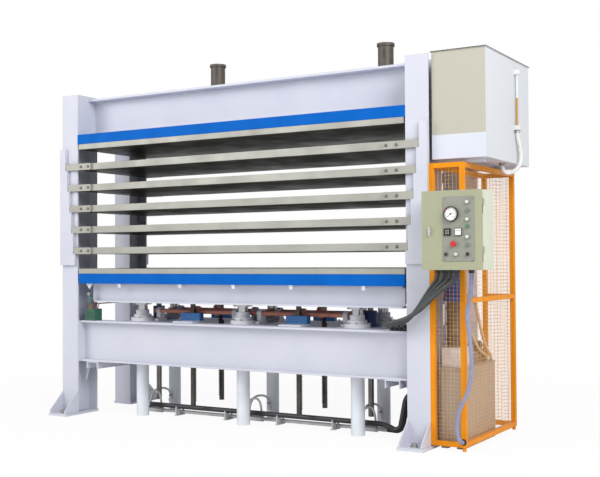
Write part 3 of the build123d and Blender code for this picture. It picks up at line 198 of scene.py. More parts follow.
def finish(name, main, patch, patch_size=6.0, amount=0.5, roughness=0.45, spread=0.12, metallic=0.0,
           mirror=0.5, dust=0.25, ripple=0.02, ripple_size=400.0, wear=0.35, worn=None, edge=0.003,
           past=(), level_shade=None):
    """A sprayed or bare finish: cloudy colour, dust on top, rubbed edges, uneven gloss and a fine ripple.

    past lists further zones as (colour, direction, distance), and the last argument is a painted shade colour
    for level faces.
    mirror is the strength of the clear reflection.
    """
    material = bpy.data.materials.new(name)
    material.use_nodes = True
    tree = material.node_tree
    link = tree.links.new
    shader = tree.nodes["Principled BSDF"]
    shader.inputs["Metallic"].default_value = metallic
    shader.inputs["Specular IOR Level"].default_value = mirror

    def effect(group, **values):
        node = tree.nodes.new("ShaderNodeGroup")
        node.node_tree = group
        for socket, value in values.items():
            node.inputs[socket.replace("_", " ")].default_value = value
        return node

    tone = effect(mottle, Main=linear(main), Patch=linear(patch), Patch_Size=patch_size, Amount=amount)
    color = tone.outputs["Color"]
    for zone_color, direction, distance in past:
        zone = effect(two_zone, Past=linear(zone_color), Direction=direction, At=distance)
        link(color, zone.inputs["Before"])
        color = zone.outputs["Color"]
    if level_shade:
        level = effect(shaded_level_faces, Flat=linear(level_shade))
        link(color, level.inputs["Side"])
        color = level.outputs["Color"]
    rub = effect(rubbed_edge, Radius=edge)
    rubbed = math_node(tree, "MULTIPLY", rub.outputs["Mask"], wear)
    color = mix_node(tree, rubbed, color, linear(worn or patch))
    film = effect(settled_dust, Dust=linear(dust_grey), Amount=dust)
    link(color, film.inputs["Color"])
    link(film.outputs["Color"], shader.inputs["Base Color"])
    gloss = tree.nodes.new("ShaderNodeMapRange")
    gloss.inputs["To Min"].default_value = roughness
    gloss.inputs["To Max"].default_value = roughness + spread
    link(tone.outputs["Mask"], gloss.inputs["Value"])
    link(gloss.outputs["Result"], shader.inputs["Roughness"])
    bump = tree.nodes.new("ShaderNodeBump")
    bump.inputs["Strength"].default_value = ripple
    bump.inputs["Distance"].default_value = ripple_height
    link(noise_node(tree, ripple_size), bump.inputs["Height"])
    link(rub.outputs["Normal"], bump.inputs["Normal"])
    link(bump.outputs["Normal"], shader.inputs["Normal"])
    return material


def coat(material, *names):
    """Puts a material on CAD nodes."""
    for name in names:
        for slot in nodes[name].material_slots:
            slot.material = material


def clear_selection():
    """Leaves edit mode and selects nothing."""
    if bpy.context.object and bpy.context.object.mode != "OBJECT":
        bpy.ops.object.mode_set(mode="OBJECT")
    bpy.ops.object.select_all(action="DESELECT")


def pick_faces(piece, test):
    """Goes into edit mode with the faces selected whose centre and normal pass the test."""
    clear_selection()
    bpy.context.view_layer.objects.active = piece
    piece.select_set(True)
    mesh = piece.data
    for group in (mesh.vertices, mesh.edges, mesh.polygons):
        for part in group:
            part.select = False
    for face in mesh.polygons:
        face.select = test(face.center, face.normal)
    bpy.ops.object.mode_set(mode="EDIT")
    bpy.ops.mesh.select_mode(type="FACE")


def hex_nut(radius):
    """A chamfered hex head on a washer, standing on the origin along Z; all its sizes follow the radius."""
    height = 0.9 * radius
    clear_selection()
    bpy.ops.mesh.primitive_cylinder_add(
        vertices=6, radius=radius, depth=height, location=(0, 0, 0.7 * height))
    nut = bpy.context.object
    bpy.ops.object.transform_apply(location=True)
    pick_faces(nut, lambda center, normal: normal.z > 0.9)
    bpy.ops.mesh.inset(thickness=0.14 * radius)
    bpy.ops.transform.translate(value=(0, 0, 0.12 * radius))
    bpy.ops.mesh.select_all(action="DESELECT")
    bpy.ops.mesh.primitive_cylinder_add(
        vertices=16, radius=1.35 * radius, depth=0.25 * height, location=(0, 0, 0.125 * height))
    bpy.ops.object.mode_set(mode="OBJECT")
    return nut


def join(pieces, name):
    """Makes one piece of several and names it."""
    clear_selection()
    for piece in pieces:
        piece.select_set(True)
    bpy.context.view_layer.objects.active = pieces[0]
    if len(pieces) > 1:
        bpy.ops.object.join()
    pieces[0].name = name
    return pieces[0]


def repeat(master, name, turns, material, body):
    """Copies a master once for each matrix, joins the copies and drops the master."""
    copies = []
    for turn in turns:
        copy = master.copy()
        copy.data = master.data.copy()
        copy.data.transform(turn)
        bpy.context.collection.objects.link(copy)
        copies.append(copy)
    piece = join(copies, name)
    piece.data.materials.clear()
    piece.data.materials.append(material)
    bpy.data.objects.remove(master)
    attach(piece, body)
    return piece


def at(x, y, z):
    """A plain move."""
    return Matrix.Translation((x, y, z))


anchor_nut_radius = 0.021
anchor_x = 1.625
anchor_y = 0.545
base_plate_top = 0.020
frame_enamel = finish("frame_enamel", (207, 209, 220), (196, 198, 212), patch_size=3.0, amount=0.6,
                      worn=(176, 178, 192))
coat(frame_enamel, "column_front_left", "column_front_right", "column_rear_left", "column_rear_right")
zinc = finish("zinc", (168, 168, 166), (128, 126, 122), patch_size=90.0, amount=0.7, roughness=0.36,
              spread=0.2, metallic=0.85, dust=0.2)
repeat(hex_nut(anchor_nut_radius), "anchor_nuts",
       [at(x, y, base_plate_top) for x in (-anchor_x, anchor_x) for y in (-anchor_y, anchor_y)],
       zinc, "frame")

# Bed: two rolled I beams between the columns, box beams across them for the cylinders and a light
# folded channel at each end. All are welded up and carry the columns' enamel.
coat(frame_enamel, "bed_beams", "bed_cross_beams")

# Cylinder barrels: thick steel tube on the floor, passing up through the box beams.
# They are painted pale grey lavender, with a machined oil port and stub near the foot.
barrel_enamel = finish("barrel_enamel", (234, 238, 244), (214, 218, 226), patch_size=7.0, amount=0.6)
coat(barrel_enamel, "cylinder_barrels")

# Cylinder glands: stepped cast flanges in off-white enamel that hold the ram seals.
# Eight hex bolts fix each one to the bed.
cylinder_columns = (-1.025, 0.0, 1.025)
cylinder_rows = (-0.220, 0.220)
gland_bolt_radius = 0.0075
gland_bolt_circle = 0.0865
gland_bolt_count = 8
gland_flange_top = 0.829


def ring_of_bolts(x, y, z, circle, count, first_turn):
    """Places of bolts on a circle; first_turn is the first one's share of a step."""
    angles = [math.radians(360 / count * (step + first_turn)) for step in range(count)]
    return [at(x + circle * math.cos(angle), y + circle * math.sin(angle), z) for angle in angles]


gland_white = finish("gland_white", (222, 223, 228), (192, 193, 200), patch_size=12.0, amount=0.6)
coat(gland_white, "cylinder_glands")
gland_bolts = []
for x in cylinder_columns:
    for y in cylinder_rows:
        gland_bolts += ring_of_bolts(x, y, gland_flange_top, gland_bolt_circle, gland_bolt_count, 0.5)
repeat(hex_nut(gland_bolt_radius), "gland_bolts", gland_bolts, zinc, "frame")

# Rams: ground and hard-chromed rods with a round head under the bolster.
# A thin film of oil dulls them a little.
ram_chrome = finish("ram_chrome", (206, 206, 210), (180, 180, 184), patch_size=8.0, amount=0.4,
                    roughness=0.12, spread=0.1, metallic=1.0, dust=0.05, ripple=0.0)
coat(ram_chrome, "rams")

# Guide rods and sleeves: bare ground rods that keep the bolster square, running in blue
# castings which six bolts each hold to the bed. The castings are painted navy as painted shade.
guide_columns = (-1.025, 1.025)
sleeve_bolt_radius = 0.0065
sleeve_bolt_circle = 0.060
sleeve_bolt_count = 6
sleeve_flange_top = 0.815
rod_steel = finish("rod_steel", (132, 130, 128), (98, 95, 92), patch_size=14.0, amount=0.7,
                   roughness=0.28, spread=0.16, metallic=0.9, dust=0.1)
coat(rod_steel, "guide_rods")
# The dark navy is painted shade on castings of the housings' blue.
sleeve_blue_shaded = finish("sleeve_blue_shaded", (34, 54, 116), (24, 40, 92), patch_size=10.0, amount=0.6, roughness=0.42)
coat(sleeve_blue_shaded, "guide_sleeves")
sleeve_bolts = []
for x in guide_columns:
    sleeve_bolts += ring_of_bolts(x, 0, sleeve_flange_top, sleeve_bolt_circle, sleeve_bolt_count, 0)
repeat(hex_nut(sleeve_bolt_radius), "sleeve_bolts", sleeve_bolts, zinc, "frame")

# Synchronising shafts: turned steel with a pinion near each end, all in red-brown primer.
# Cast pillow blocks carry them, each held by two bolts.
bearing_columns = (-0.895, -0.120, 0.120, 0.895)
bearing_bolt_radius = 0.008
bearing_bolt_reach = 0.045
bearing_foot_top = 0.819
shaft_y = 0.140
shaft_primer = finish("shaft_primer", (214, 142, 120), (182, 110, 90), patch_size=18.0, amount=0.7,
                      roughness=0.4)
coat(shaft_primer, "sync_shaft_front", "sync_shaft_rear")
coat(gland_white, "shaft_bearings")
repeat(hex_nut(bearing_bolt_radius), "bearing_bolts",
       [at(x, row + step, bearing_foot_top)
        for x in bearing_columns for row in (-shaft_y, shaft_y)
        for step in (-bearing_bolt_reach, bearing_bolt_reach)],
       zinc, "frame")

# Racks: milled tooth bars under the bolster, dark with grease, that turn the pinions.
# Blue gear housings on white feet guide their backs.
up_way = (0, 0, 1)
housing_columns = (-0.507, 0.507)
housing_bolt_radius = 0.008
housing_bolt_reach = 0.075
housing_bolt_y = 0.315
housing_foot_top = 0.811
housing_blue_from = 0.812
rack_steel = finish("rack_steel", (92, 86, 80), (62, 58, 54), patch_size=22.0, amount=0.8, roughness=0.35,
                    spread=0.2, metallic=0.8)
coat(rack_steel, "racks")
housing_blue = finish("housing_blue", (214, 218, 226), (196, 200, 210), patch_size=9.0, roughness=0.42,
                      past=[((40, 106, 170), up_way, housing_blue_from)])
coat(housing_blue, "gear_housings")
repeat(hex_nut(housing_bolt_radius), "housing_bolts",
       [at(x + step, row, housing_foot_top)
        for x in housing_columns for step in (-housing_bolt_reach, housing_bolt_reach)
        for row in (-housing_bolt_y, housing_bolt_y)],
       zinc, "frame")

# Bolster: two rolled I beams with welded ribs over the rams and racks, in the frame's enamel.
# The thick blue lower table lies on it, and small white clips hang under its front edge.
clip_plate = (0.036, 0.016, 0.006)
clip_rim = 0.004
clip_drop = 0.026
clip_bevel = 0.0008
clip_columns = (-1.081, -0.450, 0.067, 0.589, 1.197)
clip_y = -0.452
clip_z = 1.112
coat(frame_enamel, "bolster_beams")
table_blue = finish("table_blue", (0, 98, 190), (0, 84, 168), patch_size=5.0, roughness=0.5, mirror=0.08,
                    worn=(24, 120, 200))
coat(table_blue, "bolster_table")
clear_selection()
bpy.ops.mesh.primitive_cube_add(size=1.0)
clip = bpy.context.object
clip.data.transform(Matrix.Diagonal((*clip_plate, 1.0)))
pick_faces(clip, lambda center, normal: normal.z < -0.9)
bpy.ops.mesh.inset(thickness=clip_rim)
bpy.ops.mesh.extrude_region_move(TRANSFORM_OT_translate={"value": (0, 0, -clip_drop)})
bpy.ops.mesh.select_all(action="SELECT")
bpy.ops.mesh.bevel(offset=clip_bevel, segments=2, affect="EDGES")
bpy.ops.object.mode_set(mode="OBJECT")
repeat(clip, "table_clips", [at(x, clip_y, clip_z) for x in clip_columns],
       gland_white, "bolster")

# Heated platens: ground steel plate with milled grey-beige edges. Their level faces are painted dark as
# painted shade in the gaps.
# Lug bars, two bolts each, carry the five loose ones on the ladder boards.
lug_bolt_radius = 0.009
lug_bolt_columns = (-1.478, -1.398, 1.398, 1.478)
lug_face = 0.485
lug_bolt_rise = 0.028
platen_bottoms = {5: 1.365, 4: 1.544, 3: 1.723, 2: 1.902, 1: 2.081}
facing_front = Matrix.Rotation(math.radians(90), 4, "X")
facing_back = Matrix.Rotation(math.radians(-90), 4, "X")
# The dark colour for level faces is painted shade of the gaps between the platens.
platen_steel = finish("platen_steel", (166, 165, 157), (146, 144, 135), patch_size=5.0, amount=0.6,
                      roughness=0.4, spread=0.2, metallic=0.25, dust=0.0, worn=(128, 125, 116),
                      level_shade=(70, 68, 58))
coat(platen_steel, "top_platen", "bottom_platen", "platen_1", "platen_2", "platen_3", "platen_4", "platen_5")
bolt_grey = finish("bolt_grey", (124, 122, 116), (102, 100, 94), patch_size=80.0, amount=0.7, roughness=0.4,
                   spread=0.2, metallic=0.3)
for number, bottom in platen_bottoms.items():
    height = bottom + lug_bolt_rise
    lug_bolts = [at(x, -lug_face, height) @ facing_front for x in lug_bolt_columns]
    lug_bolts += [at(x, lug_face, height) @ facing_back for x in lug_bolt_columns]
    repeat(hex_nut(lug_bolt_radius), f"lug_bolts_{number}", lug_bolts,
           bolt_grey, f"platen_{number}")

# Ladder boards: flame-cut plates welded to the column faces, with one step for each platen.
# They carry the frame's enamel, scuffed along the steps.
ladder_enamel = finish("ladder_enamel", (206, 208, 219), (192, 195, 209), patch_size=4.0, amount=0.6,
                       wear=0.6, worn=(150, 148, 150))
coat(ladder_enamel, "ladder_boards")

# Head: the blue upper table under two I beams and four box ties, welded between the columns.
# Two stubs of thick tube on the ties, bare and dark with mill scale, are for lifting.
coat(table_blue, "top_table")
coat(frame_enamel, "top_beams", "top_cross_beams")
mill_scale = finish("mill_scale", (74, 70, 66), (108, 100, 92), patch_size=14.0, amount=0.8, spread=0.2,
                    metallic=0.6)
coat(mill_scale, "lifting_posts")

# Oil lines: a black pressure pipe and a white return pipe side by side on floor stands.
# Both go over to black hose at the right, dip to the floor and rise into the reservoir.
right_way = (1, 0, 0)
return_hose_from = 1.184
pipe_black = finish("pipe_black", (46, 46, 50), (68, 66, 66), patch_size=16.0, amount=0.6, roughness=0.4)
coat(pipe_black, "pressure_pipe")
pipe_white = finish("pipe_white", (214, 214, 216), (186, 186, 190), patch_size=16.0, amount=0.6,
                    past=[((48, 47, 50), right_way, return_hose_from)])
coat(pipe_white, "return_pipe")

# Cylinder hoses: short pale hoses that arch from the tees on the return pipe to the port stubs.
# A hex nut screws each end down. Hose routes and radii are in millimetres.
tee_shift = 60
tee_y = -46
tee_top = 48.3
arch_top = 194.3
stub_y = 157
stub_top = 119.3
cylinder_hose_radius = 9
hose_nut_radius = 0.0125
hose_columns = {"left": -1025, "middle": 0, "right": 1025}
hose_pale = finish("hose_pale", (224, 224, 222), (196, 196, 194), patch_size=24.0, amount=0.6,
                   roughness=0.5, wear=0.0)


def tube(name, points, radius, material, steps, around):
    """A round tube on one smooth curve, in metres."""
    curve = bpy.data.curves.new(name, "CURVE")
    curve.dimensions = "3D"
    spline = curve.splines.new("NURBS")
    spline.points.add(len(points) - 1)
    for point, place in zip(spline.points, points):
        point.co = (*place, 1.0)
    spline.order_u = 3
    spline.use_endpoint_u = True
    spline.resolution_u = steps
    curve.bevel_depth = radius
    curve.bevel_resolution = around
    curve.use_fill_caps = True
    curve.materials.append(material)
    piece = bpy.data.objects.new(name, curve)
    bpy.context.collection.objects.link(piece)
    return piece


def run_hose(name, route, radius, material, node):
    """A hose that stands for a CAD node; its length is in metres."""
    points = [[value / 1000 for value in place] for place in route]
    piece = tube(name, points, radius / 1000, material, steps=16, around=5)
    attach(piece, "frame")
    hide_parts(node)


def on_route(place):
    """A move to a point of a route."""
    return at(*[value / 1000 for value in place])


hose_nuts = []
for column, x in hose_columns.items():
    for side, row, length in (("front", -1, 0.287), ("rear", 1, 0.353)):
        route = [(x - row * tee_shift, tee_y, tee_top), (x - row * tee_shift, tee_y, arch_top),
                 (x, row * stub_y, arch_top), (x, row * stub_y, stub_top)]
        run_hose(f"cylinder_hose_{column}_{side}", route, cylinder_hose_radius,
                 hose_pale, "cylinder_hoses")
        hose_nuts += [on_route(route[0]), on_route(route[-1])]
repeat(hex_nut(hose_nut_radius), "hose_nuts", hose_nuts, zinc, "frame")

# Limit switch: a ribbed green casting on the bed with a red-brown post for its lever.
# Two thin copper pipes run from it to the rear left column.
switch_post_from = 0.8995
control_pipe_radius = 0.004
control_pipe_gap = 0.032
control_pipe_bends = [(-1.395, -0.366, 0.899), (-1.395, -0.366, 0.942), (-1.395, -0.310, 0.942),
                      (-1.470, 0.120, 0.938), (-1.490, 0.300, 0.936)]
column_face = (-1.5375, 0.300, 0.936)
switch_green = finish("switch_green", (58, 108, 90), (42, 84, 72), patch_size=20.0, amount=0.7, roughness=0.4,
                      past=[((104, 84, 72), up_way, switch_post_from)])
coat(switch_green, "limit_switch")
copper = finish("copper", (190, 96, 80), (150, 72, 60), patch_size=30.0, amount=0.6, roughness=0.34,
                spread=0.15, metallic=0.6, dust=0.1, wear=0.0)
for number, shift in ((1, 0.0), (2, -control_pipe_gap)):
    bends = [(x + shift, y, z) for x, y, z in control_pipe_bends] + [column_face]
    pipe = tube(f"control_pipe_{number}", bends, control_pipe_radius, copper, steps=12, around=3)
    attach(pipe, "frame")

# Lever and wedge: the white wedge under the lower table works a green lever with a bare roller.
# The roller turns on a riveted pin at the lever's end.
roller_at = (-1.425, -0.445, 1.026)
roller_radius = 0.015
roller_width = 0.012
pin_inset = 0.009
pin_height = 0.004
lever_green = finish("lever_green", (70, 108, 102), (48, 80, 76), patch_size=20.0, amount=0.6, roughness=0.4)
coat(lever_green, "switch_lever")
coat(gland_white, "switch_striker")
clear_selection()
bpy.ops.mesh.primitive_cylinder_add(vertices=32, radius=roller_radius, depth=roller_width,
                                    rotation=(math.radians(90), 0, 0), location=roller_at)
roller = bpy.context.object
roller.name = "lever_roller"
bpy.ops.object.transform_apply(location=True, rotation=True)
pick_faces(roller, lambda center, normal: normal.y < -0.9)
bpy.ops.mesh.inset(thickness=pin_inset)
bpy.ops.mesh.extrude_region_move(TRANSFORM_OT_translate={"value": (0, -pin_height, 0)})
bpy.ops.object.mode_set(mode="OBJECT")
roller.data.materials.append(zinc)
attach(roller, "switch_lever")

# Oil tank: a closed box of folded sheet on two arms, grey beige above a pale lavender band,
# with a dark lid. A sight gauge on its side shows the oil between two white valve blocks.
tank_beige_from = 2.162
tank_lit_side_from = 2.1182
tank_lid_from = 2.7425
gauge_oil_from = 2.2702
gauge_oil_level = 2.47
gauge_block_from = 2.6408
tank_hose_radius = 15
tank_nut_radius = 0.0185
tank_hose_route = [(2135.5, 175, 2236), (2135.5, 175, 2187.6), (2148.1, 217.75, 2086), (2149, 198.75, 1974.6),
                   (2090.5, 127.5, 1916.6), (2050.9, 80, 1935.9), (2050.9, 80, 1994)]
down = Matrix.Rotation(math.radians(180), 4, "X")
# The paler grey past the right edge is painted light falling on the tank's right face.
tank_enamel = finish("tank_enamel", (212, 216, 228), (198, 202, 216), patch_size=2.5, amount=0.6,
                     roughness=0.4,
                     past=[((182, 179, 165), up_way, tank_beige_from),
                           ((206, 209, 214), right_way, tank_lit_side_from),
                           ((62, 61, 60), up_way, tank_lid_from)])
coat(tank_enamel, "oil_tank")
gauge_white = finish("gauge_white", (226, 228, 226), (200, 204, 202), patch_size=30.0, amount=0.6,
                     roughness=0.25,
                     past=[((186, 140, 60), up_way, gauge_oil_from),
                           ((214, 222, 220), up_way, gauge_oil_level),
                           ((226, 228, 226), up_way, gauge_block_from)])
coat(gauge_white, "sight_gauge")
run_hose("tank_drain_hose", tank_hose_route, tank_hose_radius,
         hose_pale, "tank_hose")
repeat(hex_nut(tank_nut_radius), "tank_hose_nuts",
       [on_route(tank_hose_route[0]) @ down, on_route(tank_hose_route[-1]) @ down],
       zinc, "frame")

# Cage: welded square tube in orange enamel, with panels of welded wire let into it.
# The wires cross at 27 mm and lie one on the other.
wire_radius = 0.0012
wire_pitch = 0.027
low_panel = (0.062, 1.002)
high_panel = (1.036, 1.932)
whole_panel = (0.062, 1.932)
end_panel_x = (1.7465, 1.9335)
side_panel_y = (-0.424, 0.566)
front_y = -0.441
back_y = 0.583
side_x = 1.9505
along_x = Matrix.Rotation(math.radians(90), 4, "Y")
cage_orange = finish("cage_orange", (234, 148, 12), (218, 128, 8), patch_size=8.0, amount=0.6, roughness=0.4,
                     mirror=0.2, worn=(244, 176, 80))
coat(cage_orange, "cage_frame")
# The wires carry the frame's orange; their paler tone is painted sheen of light on the thin wires.
wire_orange_sheen = finish("wire_orange_sheen", (248, 186, 104), (238, 164, 72), patch_size=20.0, amount=0.6,
                     roughness=0.4, wear=0.0)


def wires(low, high):
    """Places for wires across a span, evenly spaced and clear of its ends."""
    count = round((high - low) / wire_pitch)
    return [low + (high - low) * step / count for step in range(1, count)]


def middle(span):
    """The middle of a span."""
    return (span[0] + span[1]) / 2


def stretch(span):
    """Makes a wire of unit length as long as a span."""
    return Matrix.Diagonal((1, 1, span[1] - span[0], 1))


clear_selection()
bpy.ops.mesh.primitive_cylinder_add(vertices=6, radius=wire_radius, depth=1.0)
wire = bpy.context.object
pick_faces(wire, lambda center, normal: abs(normal.z) > 0.9)
bpy.ops.mesh.inset(thickness=0.3 * wire_radius)
bpy.ops.object.mode_set(mode="OBJECT")
wire_runs = []
for y, panels in ((front_y, (whole_panel,)), (back_y, (low_panel, high_panel))):
    for panel in panels:
        for x in wires(*end_panel_x):
            wire_runs.append(at(x, y - wire_radius, middle(panel)) @ stretch(panel))
        for z in wires(*panel):
            wire_runs.append(at(middle(end_panel_x), y + wire_radius, z) @ along_x @ stretch(end_panel_x))
for panel in (low_panel, high_panel):
    for y in wires(*side_panel_y):
        wire_runs.append(at(side_x + wire_radius, y, middle(panel)) @ stretch(panel))
    for z in wires(*panel):
        place = at(side_x - wire_radius, middle(side_panel_y), z)
        wire_runs.append(place @ facing_front @ stretch(side_panel_y))
cage_wires = repeat(wire, "cage_wires", wire_runs, wire_orange_sheen, "frame")
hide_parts("cage_mesh")

# Power unit: a beige sheet reservoir on skids, with a pale manifold and dark valves on its lid.
# An upright bronze-brown pump carries a finned blue motor on its flange.
back_way = (0, 1, 0)
valves_from = -0.140
motor_from = 1.0095
reservoir_beige = finish("reservoir_beige", (176, 172, 162), (160, 155, 145), amount=0.6)
coat(reservoir_beige, "reservoir")
valve_finish = finish("valve_finish", (226, 226, 228), (200, 200, 204), patch_size=14.0, amount=0.8,
                      past=[((132, 120, 110), back_way, valves_from)])
coat(valve_finish, "valve_block")
motor_finish = finish("motor_finish", (128, 112, 98), (92, 80, 72), patch_size=12.0, amount=0.7,
                      roughness=0.42, past=[((50, 88, 162), up_way, motor_from)])
coat(motor_finish, "pump_motor")

# Unit hoses: beige rubber hoses from the motor flange and the manifold, falling to the lid.
# Each ends in a hex nut.
unit_hose_radius = 11
unit_nut_radius = 0.014
feed_route = [(1872.3, -253, 1025), (1903.5, -253, 1025), (1903.5, -205.7, 1069.1), (1903.5, -106.4, 1015.8),
              (1903.5, -40.2, 904.2), (1903.5, 49.7, 739.3), (1903.5, 144.3, 632.6), (1903.5, 220, 600),
              (1903.5, 220, 555)]
drain_route = [(1863, -170, 690), (1863, -170, 780), (1880.5, -101.6, 778.1), (1880.5, -16.5, 681.1),
               (1880.5, 87.6, 622.9), (1880.5, 187, 600), (1880.5, 187, 555)]
hose_beige = finish("hose_beige", (214, 196, 172), (190, 172, 150), patch_size=24.0, amount=0.6,
                    roughness=0.5, wear=0.0)
run_hose("feed_hose", feed_route, unit_hose_radius, hose_beige, "unit_pipes")
run_hose("drain_hose", drain_route, unit_hose_radius, hose_beige, "unit_pipes")
repeat(hex_nut(unit_nut_radius), "unit_hose_nuts",
       [on_route(place) for place in (drain_route[0], feed_route[-1], drain_route[-1])],
       zinc, "frame")

# Control cabinet: a folded sheet box and tray door in grey-green texture paint, on two rails.
# The door hangs on two lift-off hinges.
door_paint = finish("door_paint", (163, 164, 136), (154, 156, 129), patch_size=4.0, amount=0.6,
                    roughness=0.5, spread=0.1, dust=0.2, ripple=0.08, worn=(196, 198, 176))
coat(door_paint, "cabinet_door")
box_paint = finish("box_paint", (206, 209, 190), (196, 199, 180), patch_size=4.0, amount=0.6,
                   roughness=0.5, spread=0.1, dust=0.2, ripple=0.08)
coat(box_paint, "cabinet_box")
latch_grey = finish("latch_grey", (196, 198, 196), (168, 170, 168), patch_size=60.0, amount=0.6,
                    roughness=0.35, spread=0.1, metallic=0.3)
coat(latch_grey, "door_latch")

# Control panel: a grey plate screwed to the door, with moulded bezels round its controls.
# Lamps are pale lenses, buttons are coloured caps, and the stop is a red mushroom.
panel_screw_radius = 0.0045
panel_screw_columns = (1.9225, 2.1205)
panel_screw_rows = (1.300, 1.704)
panel_front = -0.699
panel_grey = finish("panel_grey", (145, 146, 135), (132, 133, 123), patch_size=9.0, amount=0.6, roughness=0.4)
coat(panel_grey, "control_panel")
moulding_black = finish("moulding_black", (40, 40, 42), (58, 58, 60), patch_size=30.0, roughness=0.4)
coat(moulding_black, "dial_gauge", "panel_meters", "push_button_4", "selector_switch")
lens_pale = finish("lens_pale", (212, 218, 208), (190, 198, 186), patch_size=30.0, roughness=0.2)
coat(lens_pale, "pilot_lamps")
cap_grey = finish("cap_grey", (118, 130, 122), (96, 108, 100), patch_size=30.0, roughness=0.32)
coat(cap_grey, "push_button_1", "push_button_3")
cap_green = finish("cap_green", (70, 140, 98), (50, 112, 76), patch_size=30.0, roughness=0.3)
coat(cap_green, "push_button_2")
cap_red = finish("cap_red", (200, 42, 50), (170, 28, 38), patch_size=30.0, roughness=0.28)
coat(cap_red, "estop_button")
repeat(hex_nut(panel_screw_radius), "panel_screws",
       [at(x, panel_front, z) @ facing_front for x in panel_screw_columns for z in panel_screw_rows],
       zinc, "cabinet_door")

# Pressure dial: a white card in the dial's recess with printed ticks and numbers.
# A red arc marks part of its range, and a black needle turns on a round hub.
dial_at = Vector((1.97507, -0.7163, 1.59994))
card_radius = 0.0436
card_rim = 0.0030
card_raise = 0.0006
print_raise = 0.0008
dial_start = -135
dial_sweep = 270
tick_count = 10
fine_tick_count = 50
number_count = 5
number_step = 5
tick_size = (0.0012, 0.007)
tick_circle = 0.0350
fine_tick_size = (0.0006, 0.004)
fine_tick_circle = 0.0365
arc_mark_size = (0.0030, 0.0028)
arc_circle = 0.0405
arc_start = -80
arc_step = 4
arc_count = 20
number_circle = 0.0255
number_size = 0.0085
number_depth = 0.0002
needle_raise = 0.0024
needle_turn = -128
needle_length = 0.044
needle_shift = 0.012
needle_root = 0.0022
needle_tip = 0.0004
needle_flatness = 0.25
hub_radius = 0.005
hub_height = 0.003
hub_rim = 0.002
dial_white = finish("dial_white", (238, 238, 234), (226, 226, 220), patch_size=60.0, roughness=0.4,
                    dust=0.0, wear=0.0)
ink_black = finish("ink_black", (34, 34, 36), (50, 50, 52), patch_size=90.0, roughness=0.5,
                   dust=0.0, wear=0.0)
ink_red = finish("ink_red", (206, 50, 48), (180, 36, 38), patch_size=90.0, roughness=0.5,
                 dust=0.0, wear=0.0)
clear_selection()
bpy.ops.mesh.primitive_circle_add(vertices=64, radius=card_radius, fill_type="NGON",
                                  rotation=(math.radians(90), 0, 0), location=dial_at)
card = bpy.context.object
card.name = "dial_card"
bpy.ops.object.transform_apply(location=True, rotation=True)
pick_faces(card, lambda center, normal: True)
bpy.ops.mesh.inset(thickness=card_rim)
bpy.ops.mesh.extrude_region_move(TRANSFORM_OT_translate={"value": (0, -card_raise, 0)})
bpy.ops.object.mode_set(mode="OBJECT")
card.data.materials.append(dial_white)
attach(card, "cabinet_door")


def mark(width, height, depth=0.0006):
    """A small printed bar round the origin, as high as Z, facing the front."""
    clear_selection()
    bpy.ops.mesh.primitive_cube_add(size=1.0)
    bar = bpy.context.object
    bar.data.transform(Matrix.Diagonal((width, depth, height, 1.0)))
    pick_faces(bar, lambda center, normal: normal.y < -0.9)
    bpy.ops.mesh.inset(thickness=0.12 * min(width, height))
    bpy.ops.object.mode_set(mode="OBJECT")
    return bar


def on_dial(angle, radius):
    """A turn that puts a mark at an angle clockwise from the top of the dial."""
    swing = Matrix.Rotation(math.radians(angle), 4, "Y")
    return at(dial_at.x, dial_at.y - print_raise, dial_at.z) @ swing @ at(0, 0, radius)


def dial_angles(count):
    """Angles that divide the dial's sweep."""
    return [dial_start + dial_sweep / count * step for step in range(count + 1)]


repeat(mark(*tick_size), "dial_ticks", [on_dial(angle, tick_circle) for angle in dial_angles(tick_count)],
       ink_black, "cabinet_door")
repeat(mark(*fine_tick_size), "dial_fine_ticks",
       [on_dial(angle, fine_tick_circle) for angle in dial_angles(fine_tick_count)],
       ink_black, "cabinet_door")
repeat(mark(*arc_mark_size), "dial_red_arc",
       [on_dial(arc_start + arc_step * step, arc_circle) for step in range(arc_count)],
       ink_red, "cabinet_door")
numbers = []
for step, angle in enumerate(dial_angles(number_count)):
    clear_selection()
    bpy.ops.object.text_add(
        location=(dial_at.x + number_circle * math.sin(math.radians(angle)), dial_at.y - print_raise,
                  dial_at.z + number_circle * math.cos(math.radians(angle))),
        rotation=(math.radians(90), 0, 0))
    text = bpy.context.object
    text.data.body = str(number_step * step)
    text.data.size = number_size
    text.data.extrude = number_depth
    text.data.align_x = "CENTER"
    text.data.align_y = "CENTER"
    bpy.ops.object.convert(target="MESH")
    bpy.ops.object.transform_apply(location=True, rotation=True)
    numbers.append(bpy.context.object)
dial_numbers = join(numbers, "dial_numbers")
dial_numbers.data.materials.append(ink_black)
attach(dial_numbers, "cabinet_door")
needle_at = Vector((dial_at.x, dial_at.y - needle_raise, dial_at.z))
clear_selection()
bpy.ops.mesh.primitive_cylinder_add(vertices=32, radius=hub_radius, depth=hub_height,
                                    rotation=(math.radians(90), 0, 0), location=needle_at)
needle = bpy.context.object
needle.name = "dial_needle"
bpy.ops.object.transform_apply(location=True, rotation=True)
pick_faces(needle, lambda center, normal: normal.y < -0.9)
bpy.ops.mesh.inset(thickness=hub_rim)
bpy.ops.mesh.select_all(action="DESELECT")
bpy.ops.mesh.primitive_cone_add(vertices=4, radius1=needle_root, radius2=needle_tip, depth=needle_length,
                                location=needle_at + Vector((0, 0, needle_shift)))
bpy.ops.transform.resize(value=(1.0, needle_flatness, 1.0), center_override=needle_at)
bpy.ops.object.mode_set(mode="OBJECT")
spin = at(*dial_at) @ Matrix.Rotation(math.radians(needle_turn), 4, "Y") @ at(*-dial_at)
needle.data.transform(spin)
needle.data.materials.append(ink_black)
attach(needle, "cabinet_door")

